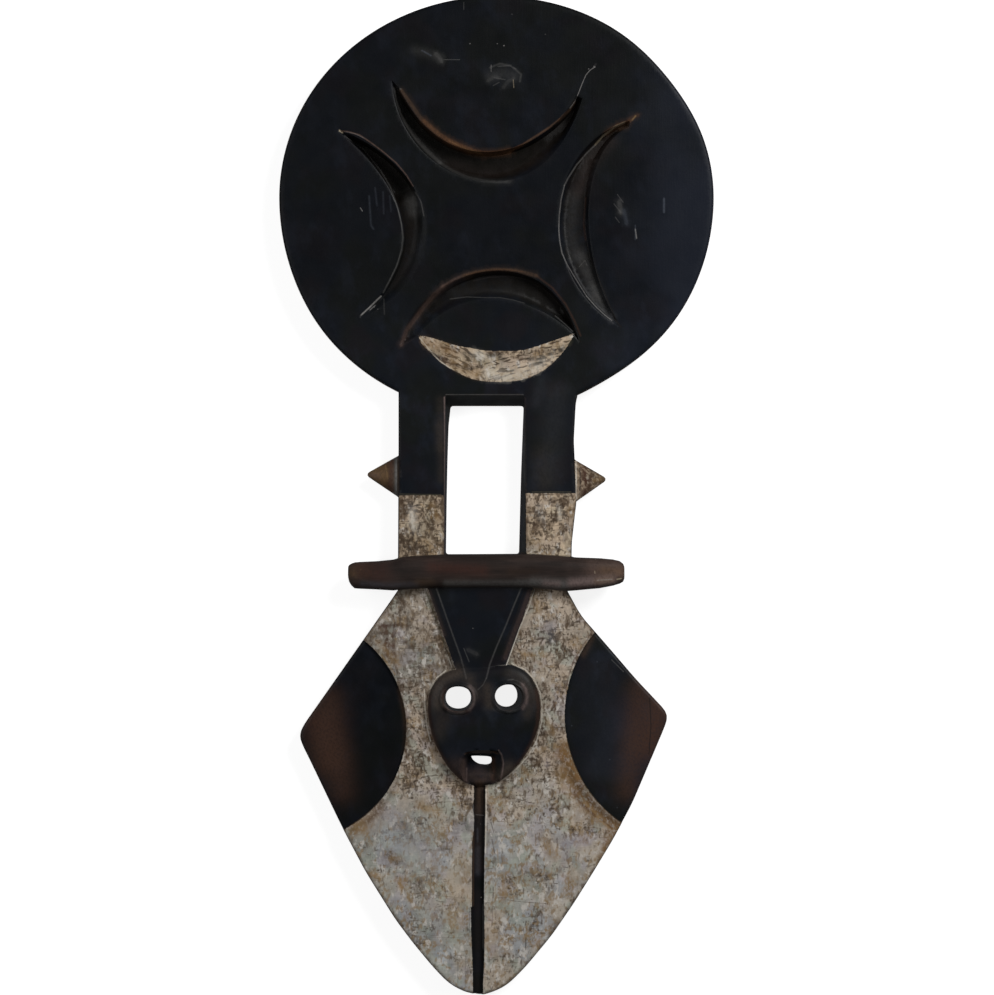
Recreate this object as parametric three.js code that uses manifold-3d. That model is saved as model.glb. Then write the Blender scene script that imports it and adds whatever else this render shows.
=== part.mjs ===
// A plank mask carved from one board of wood: a round disc above, two legs round a window,
// a cross bar, and a diamond face plate with a raised face. Millimetres, +Z up.
// The mask lies on its back: X runs across it, +Y towards the disc, Z from the back to the front.
// The origin is on the back plane, at the middle of the outline.
import * as THREE from 'three';
import { mergeVertices } from 'three/addons/utils/BufferGeometryUtils.js';
import Module from 'manifold-3d';

const wasm = await Module();
wasm.setup();

// How far cutters and joined pieces run past the faces they meet.
const OVERRUN = 30;

// The disc is round below and a little flattened above. It was cut by hand, so in places its edge
// stands in from the true curve, or out: each of these places has an angle and a spread, in degrees.
const DISC = {
  centre: [0, 448],
  radius: 326,
  upperRadius: 302,
  cutIn: [
    { angle: 36, spread: 16, by: 4 },
    { angle: 220, spread: 20, by: -3 },
    { angle: 300, spread: 18, by: 7 },
  ],
  face: 46,
  wornEdge: 5,
  sides: 96,
};

// The four crescent hollows of the disc. Each lies between the edge of the star in the middle and
// the edge of the lobe outside it, two curves of four points. Depth, and how far the floor's edge
// stands in from each side, run from the value at the curves' start to the value at their end.
const CRESCENTS = {
  top: {
    star: [[-157, 624], [-149, 469], [64, 388], [133, 591]],
    lobe: [[-146, 612], [-79, 468], [68, 504], [116, 598]],
    depth: [23, 17],
    starWall: [5, 12],
    lobeWall: [5, 5],
  },
  left: {
    star: [[-235, 549], [-69, 482], [-69, 333], [-203, 267]],
    lobe: [[-236, 546], [-167, 488], [-78, 386], [-205, 268]],
    depth: [26, 9],
    starWall: [4, 24],
    lobeWall: [5, 5],
  },
  right: {
    star: [[200, 563], [63, 522], [60, 326], [182, 256]],
    lobe: [[199, 554], [118, 515], [123, 355], [181, 262]],
    depth: [22, 9],
    starWall: [6, 6],
    lobeWall: [4, 4],
  },
  low: {
    star: [[-145, 226], [-125, 337], [79, 407], [124, 231]],
    lobe: [[-119, 240], [-71, 303], [21, 325], [113, 246]],
    depth: [11, 17],
    starWall: [7, 5],
    lobeWall: [6, 5],
  },
};
const CRESCENT_STEPS = 24;
// At a hollow's narrow tips each wall takes at most this share of the width, and the floor the rest.
const WALL_SHARE = 0.4;

// The neck carries the disc, flush with its face. Its window is wider at the front than at the back.
const NECK = {
  outline: [
    [-147, 200], [-147, 62], [-148, -136], [112, -136],
    [113, -70], [120, -8], [116, 84], [119, 140], [122, 152], [124, 200],
  ],
  face: DISC.face,
  wornEdge: 3,
};
const WINDOW = {
  front: [[-78, -110], [43, -110], [43, 39], [42, 151], [-77, 151]],
  back: [[-75, -110], [34, -110], [37, 30], [41, 136], [-69, 136]],
};

// Two side spikes, at the height of the legs' change of colour.
const SPIKES = [
  { root: [-140, 29], rootHalf: 36, tip: [-194, 32] },
  { root: [112, 22], rootHalf: 36, tip: [164, 25] },
];
// Near the tip, at shoulderBack of the length, the flanks are shoulder of their size at the root.
const SPIKE = { low: 4, high: 42, tipHalf: 4, sides: 12, shoulderBack: 0.16, shoulder: [0.24, 0.28] };

// The cross bar: for each station along X, its middle and half height along Y, and its back and
// front along Z. It is thickest at the middle, with blunt thinner ends.
const BAR = {
  stations: [
    [-223, -113, 13, 26, 50],
    [-217, -118, 18, 21, 55],
    [-205, -118, 20, 17, 59],
    [-165, -118, 21.5, 14, 64],
    [-135, -115, 24.5, 11, 68],
    [-85, -112.5, 24.5, 9, 70],
    [55, -112, 25, 9, 70],
    [115, -115.5, 24.5, 11, 68],
    [155, -116, 23, 14, 64],
    [178, -116, 19, 18, 59],
    [189, -114, 14, 22, 55],
    [194, -114, 9, 28, 49],
  ],
  sides: 20,
  squareness: 0.55,
};

// The diamond face plate leans a little: its tip is left of the disc's middle.
const PLATE = {
  rightEdge: [
    [92, -116], [127, -180], [169, -228], [211, -277], [244, -312], [255, -324], [257, -336],
    [250, -354], [233, -394], [204, -462], [175, -516], [146, -564], [116, -612], [83, -660],
    [43, -708], [19, -732], [4, -741], [-13, -747.5],
  ],
  leftEdge: [
    [-25, -750], [-38, -747], [-50, -744], [-72, -732], [-95, -708], [-125, -672], [-152, -636],
    [-197, -564], [-235, -492], [-281, -396], [-293, -372], [-296, -360], [-292, -347],
    [-158, -156], [-131, -116],
  ],
  face: 40,
  wornEdge: 4,
};

// The two round lobes at the plate's side corners lie a little below its face.
const LOBES = [
  { centre: [-305, -349], radius: 170 },
  { centre: [298, -330], radius: 196 },
];
const LOBE = { floor: 36, wall: 2, sides: 96 };

// A wedge runs from the bar down on to the brow, with a shoulder along each side.
const WEDGE = {
  outer: [[61, -120], [16, -254], [-25, -306], [-62, -258], [-109, -120]],
  ridge: [[42, -120], [-16, -268], [-25, -291], [-44, -266], [-97, -120]],
  shoulder: 46,
  top: 52,
};

// The face is a rounded egg, broad above, with its point at the chin. Its outline is four curves.
const FACE = {
  start: [-34, -256],
  curves: [
    [[-85, -258], [-103, -282], [-103, -315]],
    [[-103, -363], [-73, -423], [-37, -434]],
    [[-30, -436], [-22, -436], [-14, -434]],
    [[23, -426], [65, -369], [65, -321]],
    [[65, -284], [47, -252], [13, -253]],
  ],
  centre: [-19, -335],
  pointsPerCurve: 12,
  // How far the outline has drawn in, and the height there, from the edge to the crown.
  dome: [[1, 47], [0.985, 50.5], [0.95, 53.5], [0.86, 56.5], [0.65, 59], [0.35, 60.5], [0.08, 61]],
};
const EYES = [
  { centre: [-58, -302], hole: [20, 19] },
  { centre: [18, -300], hole: [21, 19] },
];
// Each eye's raised rim: how far it stands out from the hole, and the height there.
const EYE_RIM = [[6.5, 50], [6.5, 59], [4.5, 62], [2, 64], [0, 63.5]];
const EYE_SIDES = 40;

// The floor of the mouth runs out into the groove at one height.
const GROOVE_FLOOR = 33;

// The mouth is a funnel with a slot cut through it.
const MOUTH = {
  lip: [
    [-53, -385], [-46, -381], [2, -381], [9, -385],
    [10, -424], [-14, -440], [-34, -440], [-53, -424],
  ],
  floor: [
    [-40, -388], [-38, -386], [-8, -386], [-5, -388],
    [-5, -426], [-18, -438], [-31, -438], [-40, -428],
  ],
  lipHeight: 58,
  floorHeight: GROOVE_FLOOR,
  slot: [[-40, -388], [-7, -388], [-7, -399], [-14, -405], [-27, -405], [-35, -399]],
};

// The groove from the mouth to the plate's tip.
const GROOVE = {
  middle: [[-24, -425], [-26, -530], [-28, -606], [-29, -696], [-27, -770]],
  halfWidth: 8.5,
  floorHalfWidth: 6.5,
  floor: GROOVE_FLOOR,
};

// A shallow hollow in the back for the wearer's face.
const HOLLOW = { centre: [-20, -345], half: [98, 122], floorHalf: [80, 102], depth: 24, sides: 48 };

// A closed mesh as a solid.
function solid(geometry) {
  const plain = geometry.clone();
  plain.deleteAttribute('normal');
  plain.deleteAttribute('uv');
  const merged = mergeVertices(plain, 1e-4);
  return new wasm.Manifold(new wasm.Mesh({
    numProp: 3,
    vertProperties: merged.attributes.position.array,
    triVerts: new Uint32Array(merged.index.array),
  }));
}

// A solid from rings with the same number of points, joined one to the next, flat at both ends.
// Each ring is a list of [x, y, z]. The outline turns counter-clockwise seen from the last ring.
function loft(rings) {
  const count = rings[0].length;
  const positions = rings.flat(2);
  const index = [];
  for (let r = 0; r + 1 < rings.length; r += 1) {
    for (let i = 0; i < count; i += 1) {
      const a = r * count + i;
      const b = r * count + ((i + 1) % count);
      index.push(a, b, b + count, a, b + count, a + count);
    }
  }
  const last = (rings.length - 1) * count;
  for (const [a, b, c] of capFaces(rings[0])) index.push(a, c, b);
  for (const [a, b, c] of capFaces(rings[rings.length - 1])) index.push(last + a, last + b, last + c);
  const geometry = new THREE.BufferGeometry();
  geometry.setAttribute('position', new THREE.Float32BufferAttribute(positions, 3));
  geometry.setIndex(index);
  return solid(geometry);
}

// The triangles that close a ring, seen along the axis in which it is flattest.
function capFaces(ring) {
  const box = new THREE.Box3().setFromPoints(ring.map((p) => new THREE.Vector3(...p)));
  const size = box.getSize(new THREE.Vector3());
  const alongX = size.x < size.z;
  const flat = ring.map(([x, y, z]) => (alongX ? new THREE.Vector2(y, z) : new THREE.Vector2(x, y)));
  return THREE.ShapeUtils.triangulateShape(flat, []);
}

// An outline in X and Y lifted to a height.
function atHeight(outline, height) {
  return outline.map(([x, y]) => [x, y, height]);
}

// An outline turned counter-clockwise.
function counterClockwise(outline) {
  const area = THREE.ShapeUtils.area(outline.map(([x, y]) => new THREE.Vector2(x, y)));
  return area < 0 ? [...outline].reverse() : outline;
}

// A board of an outline, from the back plane to its face, with worn edges front and back.
function board(outline, face, wornEdge) {
  const shape = new THREE.Shape(counterClockwise(outline).map(([x, y]) => new THREE.Vector2(x, y)));
  const geometry = new THREE.ExtrudeGeometry(shape, {
    depth: face - 2 * wornEdge,
    bevelThickness: wornEdge,
    bevelSize: wornEdge,
    bevelOffset: -wornEdge,
    bevelSegments: 2,
  });
  geometry.translate(0, 0, wornEdge);
  return solid(geometry);
}

// Points of an ellipse.
function ellipse([cx, cy], [rx, ry], sides) {
  return Array.from({ length: sides }, (_, i) => {
    const angle = (2 * Math.PI * i) / sides;
    return [cx + rx * Math.cos(angle), cy + ry * Math.sin(angle)];
  });
}

// The value at a share of the way from a start to an end.
function along([start, end], share) {
  return start + (end - start) * share;
}

// A point moved towards another by a length, or by the share that a wall may take.
function towards(from, to, length) {
  const gap = Math.hypot(to[0] - from[0], to[1] - from[1]);
  const share = gap > 0 ? Math.min(WALL_SHARE, length / gap) : 0;
  return [from[0] + (to[0] - from[0]) * share, from[1] + (to[1] - from[1]) * share];
}

// A cutter for one crescent hollow: its outline at the face, and a narrower sloping floor.
function crescentCutter({ star, lobe, depth, starWall, lobeWall }) {
  const edge = (points) => new THREE.CubicBezierCurve(...points.map(([x, y]) => new THREE.Vector2(x, y)))
    .getSpacedPoints(CRESCENT_STEPS).map((p) => [p.x, p.y]);
  const starEdge = edge(star);
  const lobeEdge = edge(lobe);
  const floorPoint = (from, to, wall, i) => {
    const share = i / CRESCENT_STEPS;
    return [...towards(from[i], to[i], along(wall, share)), DISC.face - along(depth, share)];
  };
  const floorStar = starEdge.map((_, i) => floorPoint(starEdge, lobeEdge, starWall, i));
  const floorLobe = lobeEdge.map((_, i) => floorPoint(lobeEdge, starEdge, lobeWall, i));
  const outline = [...starEdge, ...lobeEdge.reverse()];
  return loft(turnedAlike([
    [...floorStar, ...floorLobe.reverse()],
    atHeight(outline, DISC.face),
    atHeight(outline, DISC.face + OVERRUN),
  ]));
}

// Rings turned round together, if need be, so that they run counter-clockwise.
function turnedAlike(rings) {
  const outline = rings[rings.length - 1].map(([x, y]) => new THREE.Vector2(x, y));
  return THREE.ShapeUtils.area(outline) < 0 ? rings.map((ring) => [...ring].reverse()) : rings;
}

// A cutter for a hollow with sloped walls: the outline at the face, a smaller one at the floor.
function hollowCutter(outline, floorOutline, face, floor) {
  return loft(turnedAlike([
    atHeight(floorOutline, floor),
    atHeight(outline, face),
    atHeight(outline, face + OVERRUN),
  ]));
}

function discOutline() {
  const { centre, radius, upperRadius, cutIn, sides } = DISC;
  return ellipse([0, 0], [1, 1], sides).map(([u, v]) => {
    const degrees = (THREE.MathUtils.radToDeg(Math.atan2(v, u)) + 360) % 360;
    const trim = cutIn.reduce((sum, { angle, spread, by }) => (
      sum + by * Math.exp(-(((degrees - angle) / spread) ** 2))
    ), 0);
    return [
      centre[0] + (radius - trim) * u,
      centre[1] + ((v > 0 ? upperRadius : radius) - trim) * v,
    ];
  });
}

function makeDisc() {
  let disc = board(discOutline(), DISC.face, DISC.wornEdge);
  for (const crescent of Object.values(CRESCENTS)) disc = disc.subtract(crescentCutter(crescent));
  return disc;
}

function makeNeck() {
  const neck = board(NECK.outline, NECK.face, NECK.wornEdge);
  const through = loft([
    atHeight(WINDOW.back, -OVERRUN),
    atHeight(WINDOW.back, 0),
    atHeight(WINDOW.front, NECK.face),
    atHeight(WINDOW.front, NECK.face + OVERRUN),
  ]);
  return { neck, through };
}

function makeSpike({ root, rootHalf, tip }) {
  const { low, high, tipHalf, shoulderBack, shoulder, sides } = SPIKE;
  const rootDeep = (high - low) / 2;
  const ring = (x, y, halfY, halfZ) => ellipse([y, (low + high) / 2], [halfY, halfZ], sides)
    .map(([across, up]) => [x, across, up]);
  const rings = [
    ring(...root, rootHalf, rootDeep),
    ring(along([tip[0], root[0]], shoulderBack), tip[1], rootHalf * shoulder[0], rootDeep * shoulder[1]),
    ring(...tip, tipHalf, tipHalf),
  ];
  return loft(tip[0] < root[0] ? rings.reverse() : rings);
}

function makeBar() {
  const squared = (value) => Math.sign(value) * Math.abs(value) ** BAR.squareness;
  return loft(BAR.stations.map(([x, middle, halfHeight, back, front]) => (
    ellipse([0, 0], [1, 1], BAR.sides).map(([u, v]) => [
      x,
      middle + halfHeight * squared(u),
      (back + front) / 2 + ((front - back) / 2) * squared(v),
    ]))));
}

function makeLobeCutter({ centre, radius }) {
  const { floor, wall, sides } = LOBE;
  const outline = ellipse(centre, [radius, radius], sides);
  const floorOutline = ellipse(centre, [radius - wall, radius - wall], sides);
  return hollowCutter(outline, floorOutline, PLATE.face, floor);
}

function makeWedge() {
  return loft([
    atHeight(WEDGE.outer, PLATE.face / 2),
    atHeight(WEDGE.outer, WEDGE.shoulder),
    atHeight(WEDGE.ridge, WEDGE.top),
  ].map((ring) => [...ring].reverse()));
}

function faceOutline() {
  const path = new THREE.Path();
  path.moveTo(...FACE.start);
  for (const [first, second, end] of FACE.curves) path.bezierCurveTo(...first, ...second, ...end);
  path.closePath();
  const points = path.getPoints(FACE.pointsPerCurve).map((p) => [p.x, p.y]);
  return points.slice(0, -1);
}

function makeFace() {
  const outline = faceOutline();
  const [cx, cy] = FACE.centre;
  const drawnIn = (share) => outline.map(([x, y]) => [cx + (x - cx) * share, cy + (y - cy) * share]);
  return loft([
    atHeight(outline, PLATE.face / 2),
    ...FACE.dome.map(([share, height]) => atHeight(drawnIn(share), height)),
  ]);
}

function makeEyeRim({ centre, hole }) {
  return loft(EYE_RIM.map(([out, height]) => (
    atHeight(ellipse(centre, [hole[0] + out, hole[1] + out], EYE_SIDES), height))));
}

function makeEyeHole({ centre, hole }) {
  const outline = ellipse(centre, hole, EYE_SIDES);
  return loft([atHeight(outline, -OVERRUN), atHeight(outline, EYE_RIM[0][1] + OVERRUN)]);
}

function makeMouthCutter() {
  const { lip, lipHeight, floor, floorHeight, slot } = MOUTH;
  const cut = counterClockwise(slot);
  return hollowCutter(lip, floor, lipHeight, floorHeight)
    .add(loft([atHeight(cut, -OVERRUN), atHeight(cut, lipHeight)]));
}

function makeGrooveCutter() {
  const side = (half) => [
    ...GROOVE.middle.map(([x, y]) => [x + half, y]).reverse(),
    ...GROOVE.middle.map(([x, y]) => [x - half, y]),
  ];
  return hollowCutter(side(GROOVE.halfWidth), side(GROOVE.floorHalfWidth), PLATE.face, GROOVE.floor);
}

function makeHollowCutter() {
  const { centre, half, floorHalf, depth, sides } = HOLLOW;
  return loft([
    atHeight(ellipse(centre, half, sides), -OVERRUN),
    atHeight(ellipse(centre, half, sides), 0),
    atHeight(ellipse(centre, floorHalf, sides), depth),
  ]);
}

function makePlate() {
  let plate = board([...PLATE.rightEdge, ...PLATE.leftEdge], PLATE.face, PLATE.wornEdge);
  for (const lobe of LOBES) plate = plate.subtract(makeLobeCutter(lobe));
  plate = plate.subtract(makeGrooveCutter());
  plate = plate.add(makeWedge()).add(makeFace());
  for (const eye of EYES) plate = plate.add(makeEyeRim(eye));
  for (const eye of EYES) plate = plate.subtract(makeEyeHole(eye));
  return plate.subtract(makeMouthCutter()).subtract(makeHollowCutter());
}

function makeMask() {
  const { neck, through } = makeNeck();
  let mask = makeDisc().add(neck).subtract(through);
  for (const spike of SPIKES) mask = mask.add(makeSpike(spike));
  mask = mask.add(makePlate()).add(makeBar());
  const made = mask.getMesh();
  const geometry = new THREE.BufferGeometry();
  geometry.setAttribute('position', new THREE.BufferAttribute(made.vertProperties, 3));
  geometry.setIndex(new THREE.BufferAttribute(made.triVerts, 1));
  geometry.computeVertexNormals();
  const paintedWood = new THREE.MeshStandardMaterial({
    color: 0x2a2a2c,
    roughness: 0.6,
    metalness: 0,
    flatShading: true,
  });
  const mesh = new THREE.Mesh(geometry, paintedWood);
  mesh.name = 'mask';
  return mesh;
}

const beduMask = new THREE.Group();
beduMask.add(makeMask());

export default beduMask;
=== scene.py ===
import math

import bpy
import numpy as np
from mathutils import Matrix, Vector
from mathutils.geometry import delaunay_2d_cdt
from mathutils.kdtree import KDTree


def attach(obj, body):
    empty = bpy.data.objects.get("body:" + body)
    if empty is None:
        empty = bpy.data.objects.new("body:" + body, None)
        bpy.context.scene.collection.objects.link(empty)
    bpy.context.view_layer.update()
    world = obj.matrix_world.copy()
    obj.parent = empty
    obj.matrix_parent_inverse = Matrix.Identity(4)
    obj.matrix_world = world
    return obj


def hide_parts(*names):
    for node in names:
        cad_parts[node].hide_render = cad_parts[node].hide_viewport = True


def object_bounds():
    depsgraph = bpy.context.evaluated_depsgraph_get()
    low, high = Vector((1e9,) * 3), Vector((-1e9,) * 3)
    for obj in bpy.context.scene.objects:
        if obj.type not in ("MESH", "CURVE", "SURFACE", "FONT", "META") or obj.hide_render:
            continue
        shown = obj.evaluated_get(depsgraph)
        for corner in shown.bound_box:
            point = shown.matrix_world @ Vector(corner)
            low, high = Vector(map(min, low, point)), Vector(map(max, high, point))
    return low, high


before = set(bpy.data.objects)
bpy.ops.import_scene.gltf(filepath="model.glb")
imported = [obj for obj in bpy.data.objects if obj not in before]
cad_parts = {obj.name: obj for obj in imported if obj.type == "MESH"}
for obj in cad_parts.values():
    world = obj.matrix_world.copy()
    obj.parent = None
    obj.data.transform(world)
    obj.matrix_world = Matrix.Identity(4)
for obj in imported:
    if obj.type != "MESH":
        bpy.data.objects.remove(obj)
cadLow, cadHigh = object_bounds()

# Sizes are in millimetres, in the mask's own frame: X to the right, Y up towards the disc,
# Z out of the carved face. The mask lies on its back at Z = 0.
mm = 0.001


# Lines and outlines in the plane of the plank.

def mix(start, end, share):
    return start + (end - start) * share


def soften(value, low, high):
    t = np.clip((value - low) / (high - low), 0, 1)
    return t * t * (3 - 2 * t)


def evenSteps(path, gap, closed=False, count=None):
    # the same line in steps of about gap, or in count steps
    path = np.asarray(path, float)
    if closed:
        path = np.vstack([path, path[:1]])
    done = np.concatenate([[0], np.cumsum(np.hypot(*np.diff(path, axis=0).T))])
    count = count or max(2, round(done[-1] / gap))
    at = np.linspace(0, done[-1], count + 1)
    even = np.column_stack([np.interp(at, done, path[:, k]) for k in (0, 1)])
    return even[:-1] if closed else even


def cornerSteps(corners, gap, closed=True):
    # a line through its corners, which all stay, in steps of about gap
    corners = np.asarray(corners, float)
    ends = np.roll(corners, -1, axis=0) if closed else corners[1:]
    steps = [evenSteps([a, b], gap, count=max(1, round(math.dist(a, b) / gap)))[:-1]
             for a, b in zip(corners, ends)]
    return np.vstack(steps if closed else steps + [corners[-1:]])


def curve(handles, gap=3.0, count=None):
    # a cubic curve from its first point to its last, drawn by the two between
    a, b, c, d = [np.array(p, float) for p in handles]
    t = np.linspace(0, 1, 160)[:, None]
    path = (1 - t) ** 3 * a + 3 * (1 - t) ** 2 * t * b + 3 * (1 - t) * t ** 2 * c + t ** 3 * d
    return evenSteps(path, gap, count=count)


def ring(centre, radii, count, squareness=2.0):
    # an oval, squarer for a squareness over 2
    angle = np.linspace(0, 2 * np.pi, count, endpoint=False)
    u, v = np.cos(angle), np.sin(angle)
    size = (np.abs(u) ** squareness + np.abs(v) ** squareness) ** (-1 / squareness)
    return np.column_stack([centre[0] + radii[0] * size * u, centre[1] + radii[1] * size * v])


def rounded(corners, radius, gap=1.5, closed=True):
    # an outline with each corner turned into a short curve
    corners = np.asarray(corners, float)
    made = []
    for i, corner in enumerate(corners):
        before, after = corners[i - 1], corners[(i + 1) % len(corners)]
        if not closed and i in (0, len(corners) - 1):
            made.append(corner[None])
            continue
        inTo, outOf = before - corner, after - corner
        reachIn = min(radius, 0.45 * np.hypot(*inTo))
        reachOut = min(radius, 0.45 * np.hypot(*outOf))
        start = corner + inTo / np.hypot(*inTo) * reachIn
        end = corner + outOf / np.hypot(*outOf) * reachOut
        made.append(curve([start, mix(start, corner, 0.6), mix(end, corner, 0.6), end], gap))
    return np.vstack(made)


def unit(runs):
    return runs / np.maximum(np.hypot(*runs.T), 1e-9)[:, None]


def leftOf(runs):
    # one unit to the left of each step of a line
    x, y = unit(runs).T
    return np.column_stack([-y, x])


farAway = 1000.0


def nearest(points, line, closed=False, within=farAway):
    # how far each point is from a line, and the share of the line's length at its nearest place
    line = np.asarray(line, float)
    best = np.full(len(points), farAway)
    share = np.zeros(len(points))
    low, high = line.min(0) - within, line.max(0) + within
    close = np.flatnonzero(((points > low) & (points < high)).all(1))
    some = points[close]
    starts = line if closed else line[:-1]
    runs = (np.roll(line, -1, axis=0) if closed else line[1:]) - starts
    sizes = np.hypot(*runs.T)
    done = np.concatenate([[0], np.cumsum(sizes)])
    gapNow = np.full(len(some), farAway)
    shareNow = np.zeros(len(some))
    for start, run, size, passed in zip(starts, runs, sizes, done):
        offset = some - start
        t = np.clip(offset @ run / max(size * size, 1e-9), 0, 1)
        gap = np.hypot(offset[:, 0] - t * run[0], offset[:, 1] - t * run[1])
        closer = gap < gapNow
        gapNow[closer] = gap[closer]
        shareNow[closer] = (passed + t[closer] * size) / max(done[-1], 1e-9)
    best[close] = gapNow
    share[close] = shareNow
    return best, share


def inside(points, outline):
    x, y = points.T
    hit = np.zeros(len(points), bool)
    for (x1, y1), (x2, y2) in zip(outline, np.roll(outline, -1, axis=0)):
        if y1 != y2:
            hit ^= ((y1 > y) != (y2 > y)) & (x < x1 + (y - y1) / (y2 - y1) * (x2 - x1))
    return hit


def depthIn(points, outline, within=farAway):
    # how far a point is inside an outline, below zero when it is outside
    gap, _ = nearest(points, outline, closed=True, within=within)
    return np.where(inside(points, outline), gap, -gap)


def lumps(points, size, seed):
    # soft random lumps from -1 to 1, about size across
    cells = 61
    grid = np.random.default_rng(seed).uniform(-1, 1, (cells, cells))
    place = points / size
    cell = np.floor(place).astype(int)
    part = place - cell
    part = part * part * (3 - 2 * part)
    i, j = (cell % cells).T
    i2, j2 = ((cell + 1) % cells).T
    low = mix(grid[i, j], grid[i2, j], part[:, 0])
    high = mix(grid[i, j2], grid[i2, j2], part[:, 0])
    return mix(low, high, part[:, 1])


def swells(points, waves):
    return sum(height * lumps(points, width, seed) for height, width, seed in waves)


# The disc with its star of four hollows, cut with crossing arcs.

disc = {
    "centre": (0, 448),
    "radius": 326,
    "upperRadius": 302,  # its upper half is flatter
    "flats": [(36, 16, 4), (220, 20, -3), (300, 18, 7)],  # at degrees, over degrees, cut in by
    "face": 46,
    "wornEdge": 6,
    "uneven": [(0.5, 75, 1), (0.2, 24, 2)],  # swells of its face: height, width and seed
    "gap": 4.7,  # between the points of its mesh
}

# Each hollow runs from one tip to the other between an edge on the star and an edge on the lobe.
# Depths and wall widths are given at shares of the way from its first tip to its last.
crescents = {
    "top": {
        "star": [(-157, 624), (-149, 469), (64, 388), (129, 596)],
        "lobe": [(-146, 612), (-79, 468), (68, 504), (120, 600)],
        "depth": [(0, 12), (0.12, 24), (0.45, 22), (0.8, 15), (0.9, 21), (1, 21)],
        "starWall": [(0, 5), (0.2, 8), (0.45, 12), (0.75, 18), (0.9, 7), (1, 5)],
        "lobeWall": [(0, 4), (1, 5)],
        "softStar": [(0, 0), (1, 0)],
    },
    "left": {
        "star": [(-235, 549), (-69, 482), (-69, 333), (-203, 267)],
        "lobe": [(-236, 546), (-167, 488), (-78, 386), (-205, 268)],
        "depth": [(0, 8), (0.08, 24), (0.365, 25), (0.405, 14), (0.6, 11), (1, 7)],
        "starWall": [(0, 4), (0.37, 4), (0.41, 12), (0.6, 20), (1, 24)],
        "lobeWall": [(0, 4), (1, 4)],
        "softStar": [(0, 0), (0.38, 0), (0.44, 1), (1, 1)],
    },
    "right": {
        "star": [(200, 563), (63, 522), (60, 326), (182, 256)],
        "lobe": [(199, 554), (118, 515), (123, 355), (181, 262)],
        "depth": [(0, 18), (0.12, 20), (0.3, 13), (0.6, 9), (1, 7)],
        "starWall": [(0, 4), (0.2, 7), (0.5, 9), (0.8, 8), (1, 4)],
        "lobeWall": [(0, 4), (0.1, 6), (0.3, 9), (0.5, 5), (1, 2)],
        "softStar": [(0, 0), (1, 0)],
    },
    "low": {
        "star": [(-145, 226), (-125, 337), (79, 407), (124, 231)],
        "lobe": [(-119, 240), (-71, 303), (21, 325), (113, 246)],
        "depth": [(0, 6), (0.15, 10), (0.5, 13), (0.85, 17), (1, 12)],
        "starWall": [(0, 8), (0.3, 8), (0.6, 5), (1, 4)],
        "lobeWall": [(0, 6), (0.3, 11), (0.65, 12), (1, 6)],
        "softStar": [(0, 0), (1, 0)],
    },
}
wallShare = 0.6  # of a hollow's width, the most that one wall takes
tipWall = 4  # how wide the wall across a hollow's tip is
wornRim = {"width": 1.6, "drop": 0.7}  # the arris round a hollow is worn down this much


def stops(values, share):
    # a value that changes evenly between its stops
    at, value = np.array(values, float).T
    return np.interp(share, at, value)


def discOutline():
    angle = np.linspace(0, 2 * np.pi, 720, endpoint=False)
    degrees = np.degrees(angle)
    trim = sum(by * np.exp(-(((degrees - at) / spread) ** 2)) for at, spread, by in disc["flats"])
    tall = np.where(np.sin(angle) > 0, disc["upperRadius"], disc["radius"])
    x = disc["centre"][0] + (disc["radius"] - trim) * np.cos(angle)
    y = disc["centre"][1] + (tall - trim) * np.sin(angle)
    return evenSteps(np.column_stack([x, y]), 3.2, closed=True)


def hollowLines(hollow, count=56):
    # a hollow's two edges, and the two lines where its walls meet its floor
    star, lobe = curve(hollow["star"], count=count), curve(hollow["lobe"], count=count)
    share = np.linspace(0, 1, count + 1)
    width = np.maximum(np.hypot(*(lobe - star).T), 1e-6)
    starFloor = np.minimum(wallShare, stops(hollow["starWall"], share) / width)[:, None]
    lobeFloor = np.minimum(wallShare, stops(hollow["lobeWall"], share) / width)[:, None]
    return star, lobe, mix(star, lobe, starFloor)[3:-3], mix(lobe, star, lobeFloor)[3:-3]


def hollowRim(hollow):
    star, lobe, _, _ = hollowLines(hollow)
    return np.vstack([star, lobe[::-1]])


def hollowDrop(points, hollow):
    # how deep a hollow is cut below the face
    star, lobe, _, _ = hollowLines(hollow)
    outline = hollowRim(hollow)
    out, _ = nearest(points, outline, closed=True, within=8)
    drop = wornRim["drop"] * np.clip(1 - out / wornRim["width"], 0, 1)
    within = np.flatnonzero(inside(points, outline))
    fromStar, share = nearest(points[within], star)
    fromLobe, _ = nearest(points[within], lobe)
    fromTip = np.minimum(nearest(points[within], [star[0], lobe[0]])[0],
                         nearest(points[within], [star[-1], lobe[-1]])[0])
    width = fromStar + fromLobe
    starWall = np.minimum(stops(hollow["starWall"], share), wallShare * width)
    lobeWall = np.minimum(stops(hollow["lobeWall"], share), wallShare * width)
    climb = np.clip(fromStar / np.maximum(starWall, 0.3), 0, 1)
    slow = climb * climb * (3 - 2 * climb)  # a wall that begins as a slow slope
    climb = mix(1 - (1 - climb) ** 1.5, slow, stops(hollow["softStar"], share))
    steep = np.minimum(fromLobe / np.maximum(lobeWall, 0.3), fromTip / tipWall)
    rise = np.minimum(climb, 1 - (1 - np.clip(steep, 0, 1)) ** 1.5)
    deep = stops(hollow["depth"], share) * np.clip(width / 14, 0, 1)
    drop[within] = wornRim["drop"] + np.maximum(deep - wornRim["drop"], 0) * rise
    return drop


# The two legs round the window, with a spike on the outside of each.

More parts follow.
